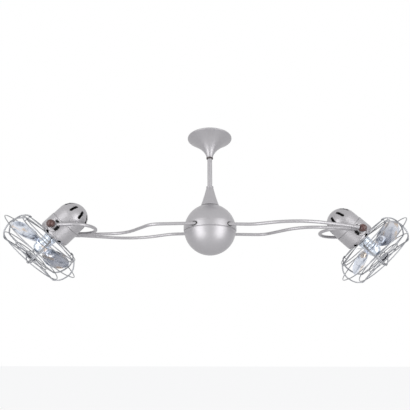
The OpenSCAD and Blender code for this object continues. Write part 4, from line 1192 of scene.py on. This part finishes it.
def makeFan(side, v, h):
    # paddles on a disc, the hub's cylinder with its two collars and its groove, and a half round nose
    body, place = "fan_" + side, lathe(headPlace(side))
    blade = bladeSurface(v)
    pitch = math.radians(v["pitch"])
    parts = []
    # a polished dome on each face of a blade, near its root
    turn = np.linspace(0, np.pi / 2, 12)
    wide, high = v["dome"] * np.cos(turn) ** 0.8, v["domeHigh"] * np.sin(turn)
    under = np.stack([wide, -v["domeShare"] * high], -1)[::-1]
    line = np.concatenate([np.stack([wide, high], -1), under[1:]])
    for i in range(v["count"]):
        a = 360 / v["count"] * i - sides[side] * v["start"]
        parts.append(gridPart(spun(blade, a), wrapV=True))
        verts, quads, uvs = revolved(line, 48)
        x, y, z = verts.T
        y, z = y * math.cos(pitch) - z * math.sin(pitch), y * math.sin(pitch) + z * math.cos(pitch)
        tilted = np.stack([x + v["domeAt"], y, z + v["at"] + v["domeUp"]], -1)
        parts.append((spun(tilted, a), quads, uvs))
    r, base, bore, at = h["radius"], h["from"], h["bore"], v["at"]
    wide = r + h["disc"]
    disc = roundedLine([(bore, at - 1.9, 0), (wide, at - 1.9, 1.2), (wide, at + 2.5, 1.2),
                        (bore, at + 2.5, 0)], 5)
    parts.append(revolved(disc, 96, closed=True))
    makePiece("paddles_" + side, [moved(p, place) for p in parts], body, "polishedBlade",
              ["blades_" + side], sharp=45)
    collar, groove = r + h["collar"], r - h["groove"]
    hub = roundedLine([(bore, base, 0), (r, base, 0.8), (r, base + 3.6, 0.3), (collar, base + 4, 0.5),
                       (collar, base + 8, 0.5), (r, base + 8.4, 0.3), (r, at - 16, 0.2),
                       (groove, at - 15.6, 0.2), (groove, at - 14.8, 0.2), (r, at - 14.4, 0.2),
                       (r, at - 8, 1.0), (collar, at - 7.6, 0.6), (collar, at - 2.4, 0.9),
                       (bore, at - 2.2, 0)], 5)
    makePiece("fanHub_" + side, [moved(revolved(denser(hub, 2), 96, closed=True), place)], body,
              "polishedHub", ["blade_hub_" + side])
    dome = at + 2.6
    turn = np.linspace(0, np.pi / 2, 40)
    nose = np.stack([collar * np.cos(turn), dome + 5 + (h["noseHigh"] - 5) * np.sin(turn)], -1)
    foot = roundedLine([(0, dome, 0), (collar, dome, 0.9), (collar, dome + 4, 0), (collar, dome + 5, 0)], 5)
    line = np.concatenate([foot[:-1], nose])
    makePiece("fanNose_" + side, [moved(revolved(line, 96), place)], body, "polishedHub",
              ["spinner_" + side])


for side in sides:
    makeFan(side, bladeValues, hubValues)
print("fans made")


# ---- pieces that stay as the frame has them ----
innerFinishes = {
    "zincSteel": ["ceiling_bracket", "cross_pin", "collar_screw", "spindle", "spindle_nut", "pivot_studs"],
    "blackPlastic": ["hanger_ball", "brush_block"],
    "castAlloy": ["hub_casting"],
    "bearingSteel": ["hub_bearings", "bearings"],
    "slipBrass": ["slip_ring"],
    "laminationSteel": ["stator", "rotor"],
    "copperWire": ["winding"],
}
for finishName, pieces in innerFinishes.items():
    for node in [piece + end for piece in pieces for end in ("", "_left", "_right")]:
        if node in frame["nodes"]:
            surface = frame["nodes"][node].data
            surface.materials.clear()
            surface.materials.append(material[finishName])
print("inner pieces finished")


# ---- floor, light and background ----
stageValues = {"floorAt": -2.4, "floorSize": 40.0, "floorTone": 0.32, "floorGlow": 0.72}
lightValues = {
    # azimuth from the viewer's direction, height over the ball, distance, width, height of the panel, watts
    "leftPanel": (-46, -0.45, 2.2, 1.5, 2.6, 30),
    "rightPanel": (46, -0.45, 2.2, 1.5, 2.6, 30),
}


def seenRays(tree):
    # 1 for rays from the camera, in reflections and through glass
    path = tree.nodes.new("ShaderNodeLightPath")
    direct = mathNode(tree, "MAXIMUM", path.outputs["Is Camera Ray"], path.outputs["Is Glossy Ray"])
    return mathNode(tree, "MAXIMUM", direct, path.outputs["Is Transmission Ray"])


def makeFloor(v):
    # a pale floor that shows white and keeps the object's shadow
    h = v["floorSize"] / 2
    mesh = bpy.data.meshes.new("studioFloor")
    corners = [(x * h, y * h, v["floorAt"]) for x, y in ((-1, -1), (1, -1), (1, 1), (-1, 1))]
    mesh.from_pydata(corners, [], [(0, 1, 2, 3)])
    floor = bpy.data.objects.new("studioFloor", mesh)
    bpy.context.scene.collection.objects.link(floor)
    made, tree, shader = newMaterial("paleFloor")
    shader.inputs["Roughness"].default_value = 0.9
    shader.inputs["Specular IOR Level"].default_value = 0.0
    noise = noiseNode(tree, tree.nodes.new("ShaderNodeTexCoord").outputs["Generated"], 3)
    tone = v["floorTone"]
    colour = colourMix(tree, noise, (tone * 0.98,) * 3, (tone,) * 3)
    tree.links.new(colour, shader.inputs["Base Color"])
    seen = seenRays(tree)
    shader.inputs["Emission Color"].default_value = (1, 1, 1, 1)
    tree.links.new(mathNode(tree, "MULTIPLY", seen, v["floorGlow"]), shader.inputs["Emission Strength"])
    mesh.materials.append(made)


def makeLights(values):
    # panels that look at the ball
    for name, (azimuth, height, away, width, tall, watts) in values.items():
        data = bpy.data.lights.new(name, "AREA")
        data.shape = "RECTANGLE"
        data.size, data.size_y = width, tall
        data.energy = watts
        lamp = bpy.data.objects.new(name, data)
        bpy.context.scene.collection.objects.link(lamp)
        a = math.radians(azimuth)
        target = Vector(ballCentre)
        lamp.location = target + Vector((math.sin(a) * away, -math.cos(a) * away, height))
        lamp.rotation_mode = "QUATERNION"
        lamp.rotation_quaternion = (target - lamp.location).to_track_quat("-Z", "Y")


# the height of a ray, 0 straight down and 1 straight up, and its tone
worldStops = [(0.0, 0.95), (0.4, 0.9), (0.5, 0.8), (0.62, 0.85), (0.8, 0.75), (1.0, 0.7)]
worldTint = (0.98, 0.99, 1.02)
worldStrength = 0.9


def makeWorld(stops):
    # white for the camera; for light and reflections a soft gradient from the floor up
    world = bpy.data.worlds.new("studio")
    bpy.context.scene.world = world
    world.use_nodes = True
    tree = world.node_tree
    tree.nodes.clear()
    coords = tree.nodes.new("ShaderNodeTexCoord").outputs["Generated"]
    parts = tree.nodes.new("ShaderNodeSeparateXYZ")
    tree.links.new(coords, parts.inputs[0])
    height = mathNode(tree, "ADD", mathNode(tree, "MULTIPLY", parts.outputs["Z"], 0.5), 0.5)
    ramp = toneRamp(tree, height, [(place, tuple(tone * c for c in worldTint)) for place, tone in stops])
    ramp.color_ramp.interpolation = "EASE"
    soft = tree.nodes.new("ShaderNodeBackground")
    tree.links.new(ramp.outputs["Color"], soft.inputs["Color"])
    soft.inputs["Strength"].default_value = worldStrength
    white = tree.nodes.new("ShaderNodeBackground")
    white.inputs["Color"].default_value = (1, 1, 1, 1)
    mix = tree.nodes.new("ShaderNodeMixShader")
    tree.links.new(seenRays(tree), mix.inputs[0])
    tree.links.new(soft.outputs[0], mix.inputs[1])
    tree.links.new(white.outputs[0], mix.inputs[2])
    tree.links.new(mix.outputs[0], tree.nodes.new("ShaderNodeOutputWorld").inputs["Surface"])


makeFloor(stageValues)
makeLights(lightValues)
makeWorld(worldStops)
bpy.context.scene.view_settings.view_transform = "Standard"
print("stage and light made")
